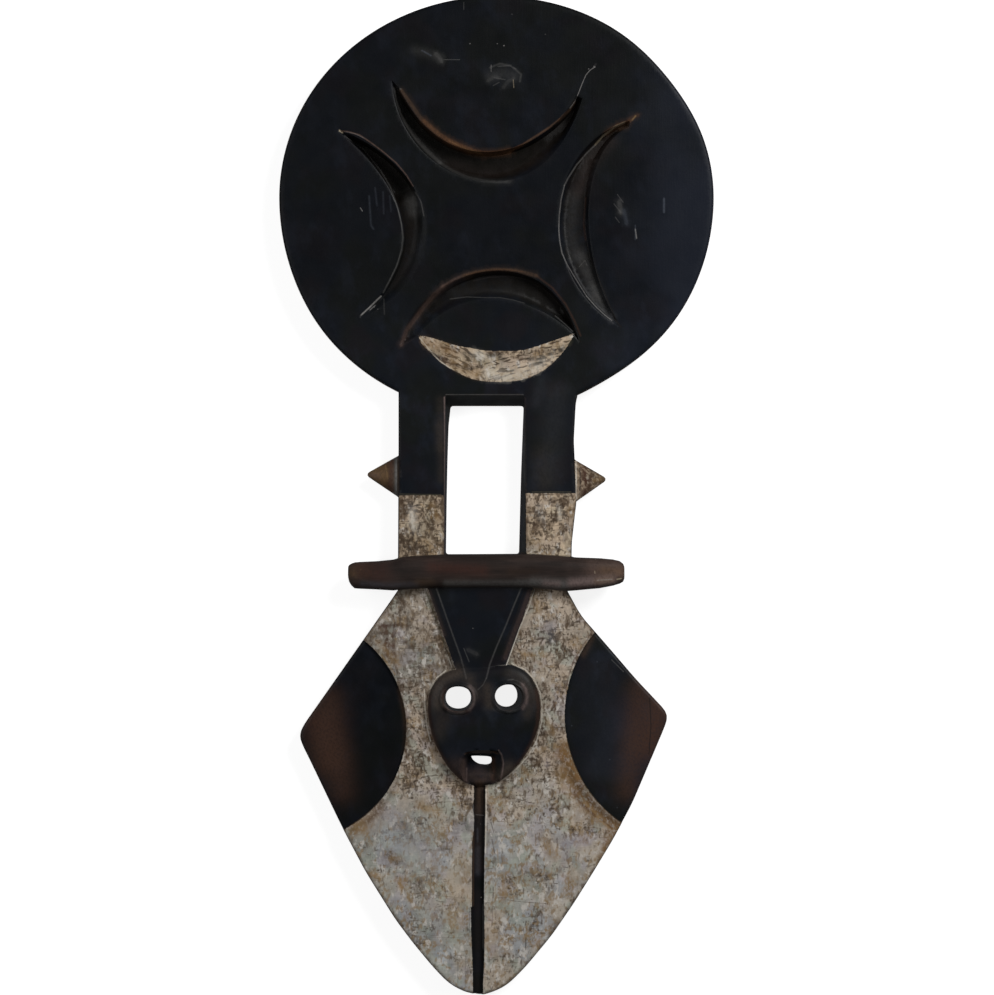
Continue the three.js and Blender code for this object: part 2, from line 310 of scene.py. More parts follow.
legs = {
    "outline": [(-147, 200), (-147, 62), (-148, -136), (112, -136), (113, -70), (120, -8), (116, 84),
                (119, 140), (122, 152), (124, 200)],
    "face": 46,
    "wornEdge": 4,
    "windowFront": [(-78, -88), (43.5, -87.3), (43, 39), (42, 151), (-77, 151)],
    "windowBack": [(-76.4, -88), (34, -87.4), (37, 30), (41, 136), (-69.3, 136), (-72.5, 106), (-74.2, 50),
                   (-75.4, -10)],
    "cornerFront": 2,
    "cornerBack": 3.6,
    "windowWorn": 1.6,
    "uneven": [(0.4, 50, 3)],
    "gap": 3.6,
}

spikes = {
    "left": {"root": (-140, 29), "tip": (-194, 32)},
    "right": {"root": (112, 22), "tip": (164, 25)},
    "rootHalf": 36, "tipHalf": 4,
    "low": 4, "high": 42,
    "squareness": 2.2,
    "tipThin": 0.2,  # of its thickness at the root
}


# The cross bar, as stations along it: x, middle y, half height, back and front.

bar = {
    "stations": [
        (-222.5, -114, 8, 27, 49), (-221, -116, 12.5, 24, 52), (-218, -117.5, 16, 21, 55),
        (-213, -119, 19.3, 18, 58), (-205, -119, 20, 17, 60), (-180, -119, 21, 15, 63),
        (-155, -118.5, 23, 13, 66), (-140, -115.5, 24.5, 11, 68), (-85, -112.5, 24.5, 9, 69.6),
        (55, -112, 25, 9, 69.6), (105, -116.5, 26, 10, 69), (120, -116.8, 24.5, 11, 68),
        (155, -115.8, 22.3, 14, 64), (175, -114.8, 19.5, 18, 60), (185, -114.5, 16.8, 21, 56),
        (190, -115, 13.5, 25, 52), (191.8, -115, 9, 29, 48),
    ],
    "squareness": 3.2,  # 2 would be an oval section
    "spread": 1.015,  # the section is a little wider than the bar, so that its sides stay upright
    "uneven": [(0.7, 20, 6)],
    "unevenStretch": (0.35, 1),
    "sunk": 0.5,  # its uneven face lies this much lower, on average
    "lines": (1.025, 1, 0.975, 0.92, 0.82, 0.65, 0.35),  # of its half height, for its mesh
    "gap": 3.4,
}


def barAt(x):
    # middle, half height, back and front of the bar at each x
    stations = np.array(bar["stations"], float).T
    return [np.interp(x, stations[0], values) for values in stations[1:]]


def barOutline():
    xs = np.array([station[0] for station in bar["stations"]], float)
    x = cornerSteps(np.column_stack([xs, xs * 0]), bar["gap"], closed=False)[:, 0]
    middle, half, _, _ = barAt(x)
    upper = np.column_stack([x, middle + half])
    lower = np.column_stack([x, middle - half])
    left = cornerSteps([lower[0], upper[0]], bar["gap"], closed=False)[1:-1]
    right = cornerSteps([upper[-1], lower[-1]], bar["gap"], closed=False)[1:-1]
    return np.vstack([lower[::-1], left, upper, right])[::-1]


def barSurface(points):
    # back and front of the bar, and how far across it a point is, 1 at its edges
    middle, half, back, front = barAt(points[:, 0])
    across = np.abs(points[:, 1] - middle) / half
    power = bar["squareness"]
    swell = (1 - np.clip(across / bar["spread"], 0, 1) ** power) ** (1 / power)
    centre = (back + front) / 2
    return centre - (centre - back) * swell, centre + (front - centre) * swell, across


def spikeOutline(spike):
    (rootX, rootY), (tipX, tipY) = spike["root"], spike["tip"]
    rootHalf, tipHalf = spikes["rootHalf"], spikes["tipHalf"]
    blunt = mix(tipX, rootX, 0.04)
    return cornerSteps([
        (rootX, rootY - rootHalf), (blunt, tipY - tipHalf), (tipX, tipY - 0.4 * tipHalf),
        (tipX, tipY + 0.4 * tipHalf), (blunt, tipY + tipHalf), (rootX, rootY + rootHalf),
    ], 3)


def spikeSurface(points, spike):
    (rootX, rootY), (tipX, tipY) = spike["root"], spike["tip"]
    share = np.clip((points[:, 0] - rootX) / (tipX - rootX), 0, 1)
    half = mix(spikes["rootHalf"], spikes["tipHalf"], share)
    across = np.clip(np.abs(points[:, 1] - mix(rootY, tipY, share)) / half, 0, 1)
    middle = (spikes["low"] + spikes["high"]) / 2
    deep = (spikes["high"] - spikes["low"]) / 2 * mix(1, spikes["tipThin"], share ** 1.3)
    power = spikes["squareness"]
    swell = (1 - (across * 0.985) ** power) ** (1 / power)
    return middle - deep * swell, middle + deep * swell


# The face plate: a diamond with two sunk lobes, a raised wedge, the raised face and a groove.

plate = {
    "rightEdge": [(92, -116), (127, -180), (169, -228), (211, -277), (244, -312), (255, -324), (257, -336),
                  (250, -354), (233, -394), (204, -462), (175, -516), (146, -564), (116, -612), (83, -660),
                  (43, -708), (19, -732), (4, -741), (-13, -747.5)],
    "leftEdge": [(-25, -750), (-38, -747), (-50, -744), (-72, -732), (-95, -708), (-125, -672),
                 (-152, -636), (-197, -564), (-235, -492), (-281, -396), (-293, -372), (-296, -360),
                 (-292, -347), (-158, -156), (-131, -116)],
    "face": 40,
    "wornEdge": 5,
    "uneven": [(0.3, 40, 4), (0.12, 12, 5)],
    "gap": 3.5,
    "faceGap": 2.4,  # round the eyes and the mouth
}

lobes = {
    "left": {"centre": (-305, -349), "radius": 170},
    "right": {"centre": (298, -330), "radius": 196},
    "floor": 36,
    "wall": 2,
}

wedge = {
    "outer": [(61, -120), (16, -254), (-25, -306), (-62, -258), (-109, -120)],
    "ridge": [(42, -120), (-16, -268), (-25, -291), (-44, -266), (-97, -120)],
    "shoulder": 46,
    "top": 52,
    "wall": 1.1,
    "fall": 8,  # how far its side drops over that wall
}

faceForm = {
    "start": (-34, -256),
    "curves": [
        [(-85, -258), (-103, -282), (-103, -315)],
        [(-103, -363), (-73, -423), (-37, -434)],
        [(-30, -436), (-22, -436), (-14, -434)],
        [(23, -426), (66.2, -369), (66.2, -321)],
        [(66.2, -284), (48, -252), (13, -253)],
    ],
    "edge": 47,  # height just inside the outline
    "swell": 14,  # how much higher the middle is
    "easing": 7,  # how soon it gets there
    "wall": 1.2,
    "fall": 9,
}

eyes = {
    "left": {
        "front": (-57.3, -302.9), "frontRadii": (21.3, 18.3),
        "back": (-57.5, -303), "backRadii": (19, 16.9),
    },
    "right": {
        "front": (17.8, -300.6), "frontRadii": (20.2, 18.9),
        "back": (14.4, -299.6), "backRadii": (16.8, 17.5),
    },
    "squareness": 2.15,  # 2 would be an oval
    # distance out from the hole, and height of the worn ring there
    "ring": [(0, 61.2), (2.2, 62.8), (4.8, 61.8), (6.8, 59), (8.8, 53)],
    "steps": 52,
}

mouth = {
    "lip": [(-52, -392), (-45, -383), (-30, -380), (-8, -380), (4, -381), (9, -389), (10.5, -400),
            (8, -415), (7.5, -430), (-12, -441), (-36, -441), (-54, -432), (-56, -410)],
    "floor": [(-41, -391), (-38, -387.5), (-8, -387.5), (-4, -391), (-4.5, -426), (-17, -438), (-32, -438),
              (-42, -428)],
    "slot": [(-38.6, -390.6), (-30, -390.3), (-14, -391), (-7.6, -392.2), (-7, -398.5), (-9.5, -402.8),
             (-16, -404.2), (-26, -403.2), (-32, -400), (-36.5, -395.6)],
    "lipHeight": 58,
    "floorHeight": 33,
    "rise": 10,  # its floor climbs this much from the slot to the chin
    "riseFrom": -403, "riseTo": -420, "fallFrom": -428, "fallTo": -440,
}

groove = {
    "left": [(-34, -425), (-34, -458), (-36.5, -468), (-34, -480), (-34, -500), (-36.5, -520), (-37, -560),
             (-37, -616), (-38.5, -618), (-38, -655), (-36.5, -690), (-35.5, -730), (-35, -770)],
    "right": [(-16.5, -425), (-17, -480), (-18, -540), (-18.5, -600), (-18, -650), (-18.5, -700),
              (-20, -730), (-20.5, -770)],
    "leftWall": 3.0,
    "rightWall": 2.0,
    "floor": 33,
}


def faceOutline():
    path = [np.array([faceForm["start"]], float)]
    for first, second, end in faceForm["curves"]:
        path.append(curve([path[-1][-1], first, second, end], 2.4)[1:])
    return np.vstack(path)[:-1]


def plateOutline():
    return cornerSteps(rounded(plate["rightEdge"] + plate["leftEdge"], 14, gap=4), 3.2)


def lobeRing(lobe, grow=0.0):
    radius = lobe["radius"] + grow
    return ring(lobe["centre"], (radius, radius), 420)


def grooveLines():
    # the groove's outline at the face of the plate, and the outline of its floor
    left, right = np.array(groove["left"], float), np.array(groove["right"], float)
    floorLeft, floorRight = left + (groove["leftWall"], 0), right - (groove["rightWall"], 0)
    return np.vstack([left, right[::-1]]), np.vstack([floorLeft, floorRight[::-1]])


def between(points, outer, inner):
    # 0 on an outer outline, rising to 1 on the inner one and inside it
    out = depthIn(points, outer)
    into = depthIn(points, inner)
    share = np.clip(out, 0, None) / np.maximum(np.clip(out, 0, None) + np.clip(-into, 0, None), 1e-6)
    return np.where(into >= 0, 1.0, share), out


def higher(a, b, blend):
    # the higher of two heights, with a soft fillet where they meet
    lean = np.clip(0.5 + (a - b) / (2 * blend), 0, 1)
    return mix(b, a, lean) + blend * lean * (1 - lean)


def eyeRing(eye, out=0.0, end="front"):
    radii = np.array(eye[end + "Radii"]) + out
    return ring(eye[end], radii, eyes["steps"], eyes["squareness"])


def eyeReach(points, eye):
    # how far outside an eye hole's front edge a point is
    offset = np.abs(points - np.array(eye["front"])) / np.array(eye["frontRadii"])
    power = eyes["squareness"]
    return ((offset ** power).sum(1) ** (1 / power) - 1) * np.mean(eye["frontRadii"])


def plateHeight(points, faceLine):
    height = np.full(len(points), float(plate["face"]))
    for side in ("left", "right"):
        lobe = lobes[side]
        into = lobe["radius"] - np.hypot(*(points - np.array(lobe["centre"])).T)
        height -= (plate["face"] - lobes["floor"]) * np.clip(into / lobes["wall"], 0, 1)
    edge, floor = grooveLines()
    share, _ = between(points, edge, floor)
    height -= (plate["face"] - groove["floor"]) * share
    share, out = between(points, np.array(wedge["outer"], float), np.array(wedge["ridge"], float))
    rise = mix(wedge["shoulder"], wedge["top"], share) + wedge["fall"] * np.minimum(out, 0) / wedge["wall"]
    height = np.maximum(height, rise)
    into = depthIn(points, faceLine)
    swell = np.clip(into, 0, None)
    rise = faceForm["edge"] + faceForm["swell"] * (swell / (swell + faceForm["easing"])) ** 0.8
    rise += faceForm["fall"] * np.minimum(into, 0) / faceForm["wall"]
    height = np.maximum(height, rise)
    for side in ("left", "right"):
        out = eyeReach(points, eyes[side])
        near = out < 9
        steps, heights = np.array(eyes["ring"], float).T
        rise = np.interp(out[near], steps, heights)
        height[near] = higher(height[near], rise, 1.5)
    share, out = between(points, np.array(mouth["lip"], float), np.array(mouth["floor"], float))
    cut = mix(mouth["lipHeight"], mouth["floorHeight"], share)
    climb = soften(-points[:, 1], -mouth["riseFrom"], -mouth["riseTo"])
    climb -= soften(-points[:, 1], -mouth["fallFrom"], -mouth["fallTo"])
    cut = cut + mouth["rise"] * climb * share
    height = np.where(out > 0, np.minimum(height, cut), height)
    return height


def roundOff(depth, radius):
    # how far a worn edge falls away at a depth inside its outline
    gone = np.clip(radius - depth, 0, radius)
    return radius - np.sqrt(radius * radius - gone * gone)


# The painted areas. The disc, the upper legs, the face, the wedge and the lobes are black, the rest white.

whiteCrescent = {
    "top": [(-118, 241), (-100, 238), (-80, 232), (-60, 225), (-40, 222), (-20, 218), (0, 217), (20, 217),
            (40, 218), (60, 224), (80, 231), (100, 238), (113, 243), (118, 243)],
    "bottom": [(-112, 228), (-100, 216), (-90, 206), (-80, 197), (-60, 186), (-40, 176), (-20, 172), (0, 171),
               (20, 171.5), (40, 174), (60, 182), (80, 195), (95, 210), (105, 223), (113, 236)],
}
crescentTop, crescentBottom = [evenSteps(rounded(whiteCrescent[name], 12, closed=False), 3.4)
                               for name in ("top", "bottom")]
paintLimits = {
    "leftLeg": [(-150, 1), (-76, 2)],  # the legs are white below these lines
    "rightLeg": [(41, 4), (122, 4)],
    "outlineDark": 1.0,  # the white stops this short of an edge
}


def whiteIn(points):
    # how far a point is inside a white area
    white = depthIn(points, np.vstack([crescentTop, crescentBottom[::-1]]), within=30)
    short = paintLimits["outlineDark"]
    top = np.where(points[:, 0] < 0, paintLimits["leftLeg"][0][1], paintLimits["rightLeg"][0][1])
    legArea = np.minimum(top - points[:, 1], depthIn(points, outlines["legs"], within=30) - short)
    legArea = np.minimum(legArea, -depthIn(points, outlines["windowFront"], within=30) - short)
    white = np.maximum(white, legArea)
    spikeArea = np.minimum(depthIn(points, outlines["rightSpike"], within=30) - 0.5,
                           -depthIn(points, outlines["legs"], within=30))
    white = np.maximum(white, spikeArea)
    plateArea = depthIn(points, outlines["plate"], within=30) - short
    for name in ("left", "right"):
        lobe = lobes[name]
        away = np.hypot(*(points - np.array(lobe["centre"])).T) - lobe["radius"]
        plateArea = np.minimum(plateArea, away + 0.4)
    for outline in (np.array(wedge["outer"], float), outlines["face"], grooveLines()[0]):
        plateArea = np.minimum(plateArea, -depthIn(points, outline, within=30))
    white = np.maximum(white, plateArea)
    onBar = depthIn(points, outlines["bar"], within=30)
    return np.minimum(white, -onBar), onBar


# Scratches, worn rims and stains, with painted highlights and painted shade, drawn over the paint.

tints = {
    "pale": (0.25, 0.24, 0.23),
    "chalk": (0.56, 0.52, 0.45),
    "umber": (0.058, 0.036, 0.020),
    "dusk": (0.045, 0.035, 0.028),
    "earth": (0.030, 0.021, 0.0185),
    "rose": (0.125, 0.092, 0.085),
    "cream": (0.40, 0.33, 0.23),
    "rust": (0.075, 0.036, 0.018),
    "madder": (0.055, 0.019, 0.013),
    "tan": (0.150, 0.084, 0.034),
    "ochre": (0.225, 0.142, 0.062),
    "brown": (0.055, 0.033, 0.021),
    "bark": (0.048, 0.024, 0.016),
    "pink": (0.105, 0.066, 0.052),
    "dark": (0.010, 0.0085, 0.008),
    "slate": (0.075, 0.085, 0.105),
    "grey": (0.085, 0.083, 0.080),
    "lilac": (0.24, 0.215, 0.24),
    "olive": (0.085, 0.075, 0.045),
    "haze": (0.215, 0.225, 0.240),
}

# Each mark is a tint, half its width, its strength and its line. A line of one point is a dot.
marks = {
    "disc": [
        ("grey", 7, 0.14, [(-121, 668), (-103, 664), (-85, 655)]),
        ("slate", 1.8, 0.4, [(-112, 668), (-98, 660)]),
        ("grey", 3.0, 0.5, [(-91, 663), (-86, 658), (-82, 651)]),
        ("grey", 0.9, 0.6, [(-79, 654), (-55, 654)]), ("pale", 1.4, 0.6, [(-40, 678)]),
        ("pale", 1.2, 0.5, [(1, 678)]), ("pale", 1.6, 0.7, [(11, 675)]), ("grey", 1.4, 0.6, [(73, 692)]),
        ("grey", 1.4, 0.5, [(23, 722)]), ("grey", 8, 0.15, [(-10, 630), (11, 634), (28, 630)]),
        ("grey", 2.4, 0.3, [(-10, 642), (5, 648), (22, 645)]),
        ("grey", 1.5, 0.4, [(2, 644), (20, 645), (29, 640)]),
        ("grey", 2.4, 0.3, [(25, 642), (37, 632), (35, 621)]),
        ("grey", 2.6, 0.25, [(-13, 622), (-4, 628), (5, 627)]),
        ("grey", 1.3, 0.4, [(-4, 627), (13, 624)]), ("grey", 1.2, 0.4, [(-5, 615), (4, 620)]),
        ("grey", 2.6, 0.25, [(10, 612), (17, 621), (26, 626)]),
        ("pale", 0.9, 0.4, [(-8, 646), (-8, 636)]), ("cream", 0.9, 0.4, [(25, 624), (26, 612)]),
        ("grey", 0.9, 0.5, [(-49, 740), (-49, 729)]), ("pale", 1.3, 0.6, [(146, 644)]),
        ("grey", 3.4, 0.45, [(184, 442), (186, 424)]), ("slate", 2.4, 0.5, [(251, 446), (251, 425)]),
        ("slate", 1.5, 0.3, [(208, 406), (208, 384)]),
    ],
    "crescents": [
        # top: the grey strokes along the left half of its star edge are a painted highlight on that lit wall
        ("grey", 3.2, 0.5, [(-152, 612), (-146, 588), (-136, 562), (-122, 540), (-104, 519), (-85, 501)]),
        ("grey", 2.6, 0.35, [(-85, 501), (-65, 488), (-45, 479), (-20, 473), (0, 471), (20, 471)]),
        ("pale", 1.6, 0.9, [(-144, 610)]),
        ("brown", 2.8, 0.9, [(-143, 608), (-130, 590), (-115, 568), (-100, 554), (-86, 541)]),
        ("rust", 3.6, 0.9, [(-110, 562), (-100, 554), (-85, 541), (-72, 533), (-60, 527), (-40, 519)]),
        ("rust", 3.2, 0.95, [(-76, 534), (-60, 526), (-40, 518.5), (-20, 514), (0, 514.5), (20, 518)]),
        ("ochre", 1.2, 0.2, [(-70, 532), (-56, 524.5), (-42, 519), (-22, 514)]),
        ("rust", 2.4, 0.9, [(20, 518), (40, 527), (60, 540), (80, 553)]),
        ("brown", 2.4, 0.8, [(40, 527), (60, 540), (80, 553), (95, 565), (110, 580), (118, 592)]),
        ("rust", 1.6, 0.8, [(92, 562), (96, 566)]),
        ("pale", 0.9, 0.6, [(110, 582), (118, 593), (123, 604), (128, 617), (134, 631), (140, 638),
                            (146, 642)]),
        ("pale", 1.5, 0.8, [(147, 643)]), ("pale", 1.2, 0.6, [(138, 640)]),
        ("earth", 9, 0.15, [(-70, 500), (-30, 486), (10, 484), (45, 494), (75, 512)]),
        # left: the grey line along its lobe edge and the pale strokes at its lower tip are painted highlights
        # on the lit lobe wall, and the grey patches on the step in its floor are painted light
        ("cream", 2.0, 0.7, [(-236, 548), (-231, 545)]),
        ("pink", 1.6, 0.65, [(-233, 547), (-222, 546), (-205, 541), (-190, 531), (-170, 516),
                             (-150, 499), (-135, 481), (-125, 464)]),
        ("pale", 0.8, 0.25, [(-228, 546), (-212, 543), (-198, 536)]),
        ("grey", 1.7, 0.55, [(-228, 540), (-200, 522), (-175, 491), (-160, 466), (-148, 432),
                             (-142, 406), (-140, 388), (-142, 369), (-149, 346), (-160, 323),
                             (-170, 305)]),
        ("pale", 1.6, 0.95, [(-173, 300), (-181, 292), (-191, 282), (-203, 271)]),
        ("pale", 1.2, 0.6, [(-182, 286), (-190, 279)]), ("pale", 1.0, 0.5, [(-184, 283)]),
        ("pale", 1.0, 0.4, [(-178, 280)]), ("grey", 1.6, 0.25, [(-169, 296), (-168, 272)]),
        ("grey", 8, 0.32, [(-131, 452), (-127, 438), (-124, 427)]),
        ("grey", 1.4, 0.5, [(-122, 456), (-113, 441), (-109, 420)]),
        ("grey", 3, 0.5, [(-125, 449), (-121, 436)]),
        ("earth", 9, 0.08, [(-128, 420), (-126, 385), (-134, 350), (-150, 320)]),
        ("slate", 2.4, 0.2, [(-191, 450), (-188, 405), (-184, 400)]),
        ("slate", 2.2, 0.16, [(-182, 462), (-179, 435)]),
        ("slate", 2.2, 0.14, [(-170, 456), (-169, 423)]),
        ("slate", 2.2, 0.12, [(-160, 450), (-158, 426)]), ("pale", 1.0, 0.6, [(-204, 432), (-201, 427)]),
        # right: the cream and pale lines along its star edge are worn arris with a painted highlight, the
        # broad grey on its floor is partly painted light, and the brown stroke at its upper tip and the dark
        # lines along its lobe edge are painted shadow of those walls
        ("rust", 3.2, 0.45, [(200, 565), (212, 571)]), ("ochre", 1.8, 0.5, [(203, 563), (209, 570)]),
        ("rust", 2.6, 0.8, [(200, 562), (182, 556), (165, 545)]),
        ("brown", 3.5, 0.8, [(196, 555), (184, 551)]),
        ("cream", 1.8, 0.4, [(192, 560), (178, 554), (160, 541), (148, 528)]),
        ("pale", 1.6, 0.3, [(148, 528), (136, 516), (120, 497), (108, 478), (102, 466)]),
        ("pale", 1.3, 0.45, [(102, 466), (97, 445), (94, 420), (93.5, 400), (94.5, 383)]),
        ("pale", 1.2, 0.4, [(94.5, 383), (98, 364), (107, 345), (120, 324), (135, 300)]),
        ("pale", 1.2, 0.6, [(135, 300), (150, 283), (163, 271), (173, 263)]),
        ("earth", 12, 0.35, [(170, 532), (140, 500), (124, 460)]),
        ("bark", 2.4, 0.35, [(134, 448), (131, 410), (134, 384)]),
        ("grey", 10, 0.14, [(116, 450), (110, 400), (118, 360)]),
        ("grey", 9, 0.26, [(126, 360), (138, 330), (152, 298)]),
        ("grey", 6, 0.3, [(146, 312), (160, 283), (172, 268)]),
        ("dark", 1.6, 0.9, [(136, 380), (141, 357), (150, 334), (160, 309), (170, 285), (178, 267)]),
        ("dark", 1.8, 0.9, [(176, 266), (187, 253)]),
        ("grey", 0.9, 0.5, [(124, 344), (133, 354), (136, 346)]),
        ("grey", 1.2, 0.45, [(176, 438), (186, 425)]), ("grey", 1.0, 0.45, [(181, 452), (190, 440)]),
        ("grey", 1.2, 0.4, [(178, 418), (184, 410)]), ("pale", 1.4, 0.5, [(208, 400), (210, 386)]),
        ("slate", 3, 0.3, [(191, 428), (195, 408)]),
        # low: the pink strokes on the left of its star edge are partly a painted highlight, the dark line
        # under its star edge is painted shadow, and the grey lines along the lens's top edge are painted
        # highlights
        ("pink", 3.0, 0.5, [(-143, 226), (-135, 249), (-125, 262), (-110, 283), (-95, 300), (-80, 314)]),
        ("pink", 2.6, 0.5, [(-80, 314), (-60, 326), (-40, 333)]),
        ("brown", 2.8, 0.8, [(-50, 330), (-30, 336), (0, 340), (30, 338), (60, 330)]),
        ("bark", 2.4, 0.5, [(60, 330), (84, 312), (104, 287), (118, 260), (126, 240)]),
        ("rust", 1.4, 0.5, [(-48, 331), (-20, 338), (10, 340), (40, 336)]),
        ("dark", 1.5, 0.9, [(-35, 323), (-10, 329), (20, 330), (45, 326), (62, 319), (81, 303),
                            (100, 282), (112, 262), (119, 244), (127, 230)]),
        ("grey", 1.3, 0.4, [(-70, 296), (-45, 299), (-20, 297.5), (5, 297.5), (25, 294), (42, 289)]),
        ("grey", 1.3, 0.6, [(88, 271), (102, 259), (114, 247)]),
        ("grey", 9, 0.06, [(-60, 306), (-20, 309), (20, 308), (55, 298), (85, 279)]),
    ],
    "whiteCrescent": [
        ("chalk", 9, 0.45, [(-14, 184), (13, 177), (35, 180), (62, 192)]),
        ("chalk", 4, 0.6, [(-34, 216), (-17, 209)]), ("chalk", 6, 0.4, [(55, 196), (83, 210)]),
        ("chalk", 1.3, 0.8, [(-115, 237), (-103, 222), (-85, 202), (-67, 190)]),
        ("tan", 8, 0.6, [(-106, 230), (-82, 220), (-66, 216)]),
        ("ochre", 8, 0.5, [(-66, 200), (-52, 192), (-28, 184)]),
        ("olive", 5, 0.45, [(-44, 206), (-17, 201)]),
        ("olive", 4, 0.6, [(96, 221), (115, 232), (124, 238)]),
        ("dark", 3, 0.8, [(-97, 214), (-85, 207), (-74, 204)]),
        ("brown", 3, 0.8, [(-82, 208), (-68, 197), (-59, 195)]),
        ("dark", 2.6, 0.8, [(-60, 196), (-50, 192), (-38, 190)]),
        ("dark", 2.6, 0.8, [(-40, 191), (-30, 193), (-22, 194)]),
        ("dark", 3, 0.8, [(-49, 214), (-40, 211), (-32, 210)]),
        ("dark", 3, 0.9, [(-13, 210), (-2, 211), (8, 213)]), ("dark", 2.8, 0.7, [(4, 206), (14, 204)]),
        ("brown", 2.6, 0.8, [(22, 208), (38, 207)]), ("slate", 4, 0.3, [(14, 194), (30, 190)]),
        ("dark", 3, 0.8, [(47, 205), (59, 206), (73, 208)]),
        ("dark", 2.6, 0.9, [(50, 195), (59, 198), (67, 200)]), ("brown", 3, 0.8, [(62, 216), (79, 218)]),
        ("dark", 2.8, 0.8, [(77, 212), (89, 215), (98, 217)]),
        ("dark", 2.6, 0.8, [(89, 219), (107, 221)]), ("rust", 2.6, 0.9, [(49, 178), (52, 176)]),
        ("rust", 2.6, 0.4, [(23, 175), (32, 173)]), ("brown", 3, 0.6, [(-83, 226), (-60, 220)]),
        ("brown", 2.6, 0.5, [(-20, 214), (5, 216), (35, 216)]),
    ],
    "legs": [
        ("slate", 8, 0.35, [(-125, -18), (-124, -51)]), ("chalk", 4.5, 0.6, [(-127, -24), (-125, -46)]),
        ("ochre", 2.2, 0.8, [(-113, -12), (-109, -15)]), ("ochre", 1.8, 0.8, [(-103, -18)]),
        ("brown", 2.8, 0.8, [(-92, -9), (-85, -10)]), ("rust", 2.5, 0.7, [(-91, -27), (-82, -33)]),
        ("ochre", 5, 0.4, [(-97, -14), (-88, -36)]), ("ochre", 4, 0.35, [(-109, -66), (-91, -78)]),
        ("brown", 0.9, 0.8, [(-94, -44), (-94, -51)]), ("brown", 0.9, 0.8, [(-88, -40), (-88, -48)]),
        ("dark", 1.6, 0.7, [(-140, -75), (-133, -81)]), ("dark", 1.4, 0.7, [(-131, -75), (-127, -84)]),
        ("dark", 1.5, 0.7, [(-109, -68), (-101, -74)]), ("brown", 1.6, 0.8, [(-100, -69), (-92, -76)]),
        ("brown", 4.5, 0.4, [(-142, -6), (-139, -36)]), ("grey", 6, 0.5, [(65, -15), (67, -34)]),
        ("brown", 1.2, 0.6, [(82, -14), (83, -36)]), ("brown", 1.2, 0.5, [(89, -15), (88, -33)]),
        ("chalk", 2.8, 0.6, [(95, -20), (95, -34)]), ("brown", 4, 0.5, [(56, -45), (61, -57)]),
        ("brown", 3.2, 0.5, [(103, -45), (106, -78)]), ("olive", 1.0, 0.7, [(53, 6), (112, 6)]),
        ("olive", 1.0, 0.6, [(-146, 3), (-83, 2)]), ("dusk", 7, 0.35, [(-86, 106), (-84, 72)]),
        ("dusk", 6, 0.3, [(-84, 144), (-83, 24)]),
        # the rose stroke down the window's left edge is a painted highlight on that lit wall
        ("rose", 2.0, 0.95, [(-78, 148), (-77, 84), (-77, -6), (-77, -84)]),
        ("grey", 1.1, 0.6, [(-76, 152), (40, 152)]), ("grey", 22, 0.11, [(90, 150), (84, 90), (80, 30)]),
        ("dusk", 16, 0.2, [(66, 60), (70, 20)]), ("slate", 9, 0.09, [(66, 172), (58, 140)]),
    ],
    "spikes": [
        # the left one is bare and brown, the right one mottled
        ("umber", 40, 1.0, [(-170, 32)]), ("tan", 12, 0.4, [(-180, 33), (-168, 30)]),
        ("pink", 5, 0.4, [(-186, 32), (-178, 30)]),
        ("bark", 4.5, 0.9, [(-159, 58), (-158, 30), (-161, 4)]),
        ("ochre", 1.6, 0.3, [(-167, 46), (-163, 26)]), ("grey", 2.6, 0.9, [(-151, 60), (-151, 2)]),
        ("pale", 1.0, 0.5, [(-150.5, 54), (-150.5, 8)]), ("ochre", 1.6, 0.5, [(-182, 40)]),
        # the dark stroke along the left spike's lower flank is painted shade
        ("dark", 2.6, 0.7, [(-190, 24), (-176, 15), (-160, 4)]),
        ("olive", 3, 0.4, [(-188, 40), (-174, 48)]), ("umber", 32, 0.95, [(145, 25)]),
        ("dark", 16, 0.3, [(140, 25)]), ("bark", 7, 1.0, [(132.5, 42), (132.5, 4)]),
        ("chalk", 1.8, 0.9, [(119.5, 56), (119.5, -4)]),
        ("dark", 1.6, 0.9, [(125, 42), (126, 20), (124, 2)]),
        ("bark", 4.0, 0.9, [(124, -12), (140, 2), (154, 14)]),
        ("umber", 3.6, 0.8, [(124, 52), (140, 42), (154, 32)]), ("ochre", 3, 0.4, [(146, 24), (154, 24)]),
        # the dark strokes on the upper and lower flanks of the right spike, here and on the next line, are
        # painted shade
        ("bark", 1.6, 0.8, [(142, 30), (143, 14)]), ("dark", 3, 0.7, [(124, 58), (134, 48), (146, 36)]),
        ("dark", 2.6, 0.6, [(128, -8), (142, 5)]),
    ],
    "bar": [
        ("tan", 8, 0.3, [(-216, -116)]), ("tan", 12, 0.1, [(-197, -112)]),
        ("dark", 14, 0.4, [(-150, -108), (-124, -112)]), ("ochre", 1.5, 0.5, [(-203, -110)]),
        ("cream", 1.3, 0.6, [(146.5, -112), (147, -116)]), ("umber", 12, 0.2, [(-212, -114)]),
        ("madder", 14, 0.4, [(-200, -112), (-172, -116)]),
        ("dark", 14, 0.25, [(-196, -114), (-170, -116)]),
        ("madder", 9, 0.4, [(-97, -106), (-60, -108), (-20, -111)]),
        ("rust", 6, 0.10, [(20, -113), (60, -111)]), ("dark", 8, 0.35, [(40, -104), (95, -106)]),
        ("pink", 15, 0.45, [(145, -110), (180, -112)]), ("pink", 7, 0.5, [(184, -114)]),
        ("tan", 8, 0.2, [(160, -112), (184, -113)]),
        # the grey, rose, slate, pale, cream and tan strokes along the lower facet, y about -124 to -135, are
        # painted highlights
        ("grey", 5.0, 0.6, [(-75, -131), (0, -131), (60, -131.5), (100, -135)]),
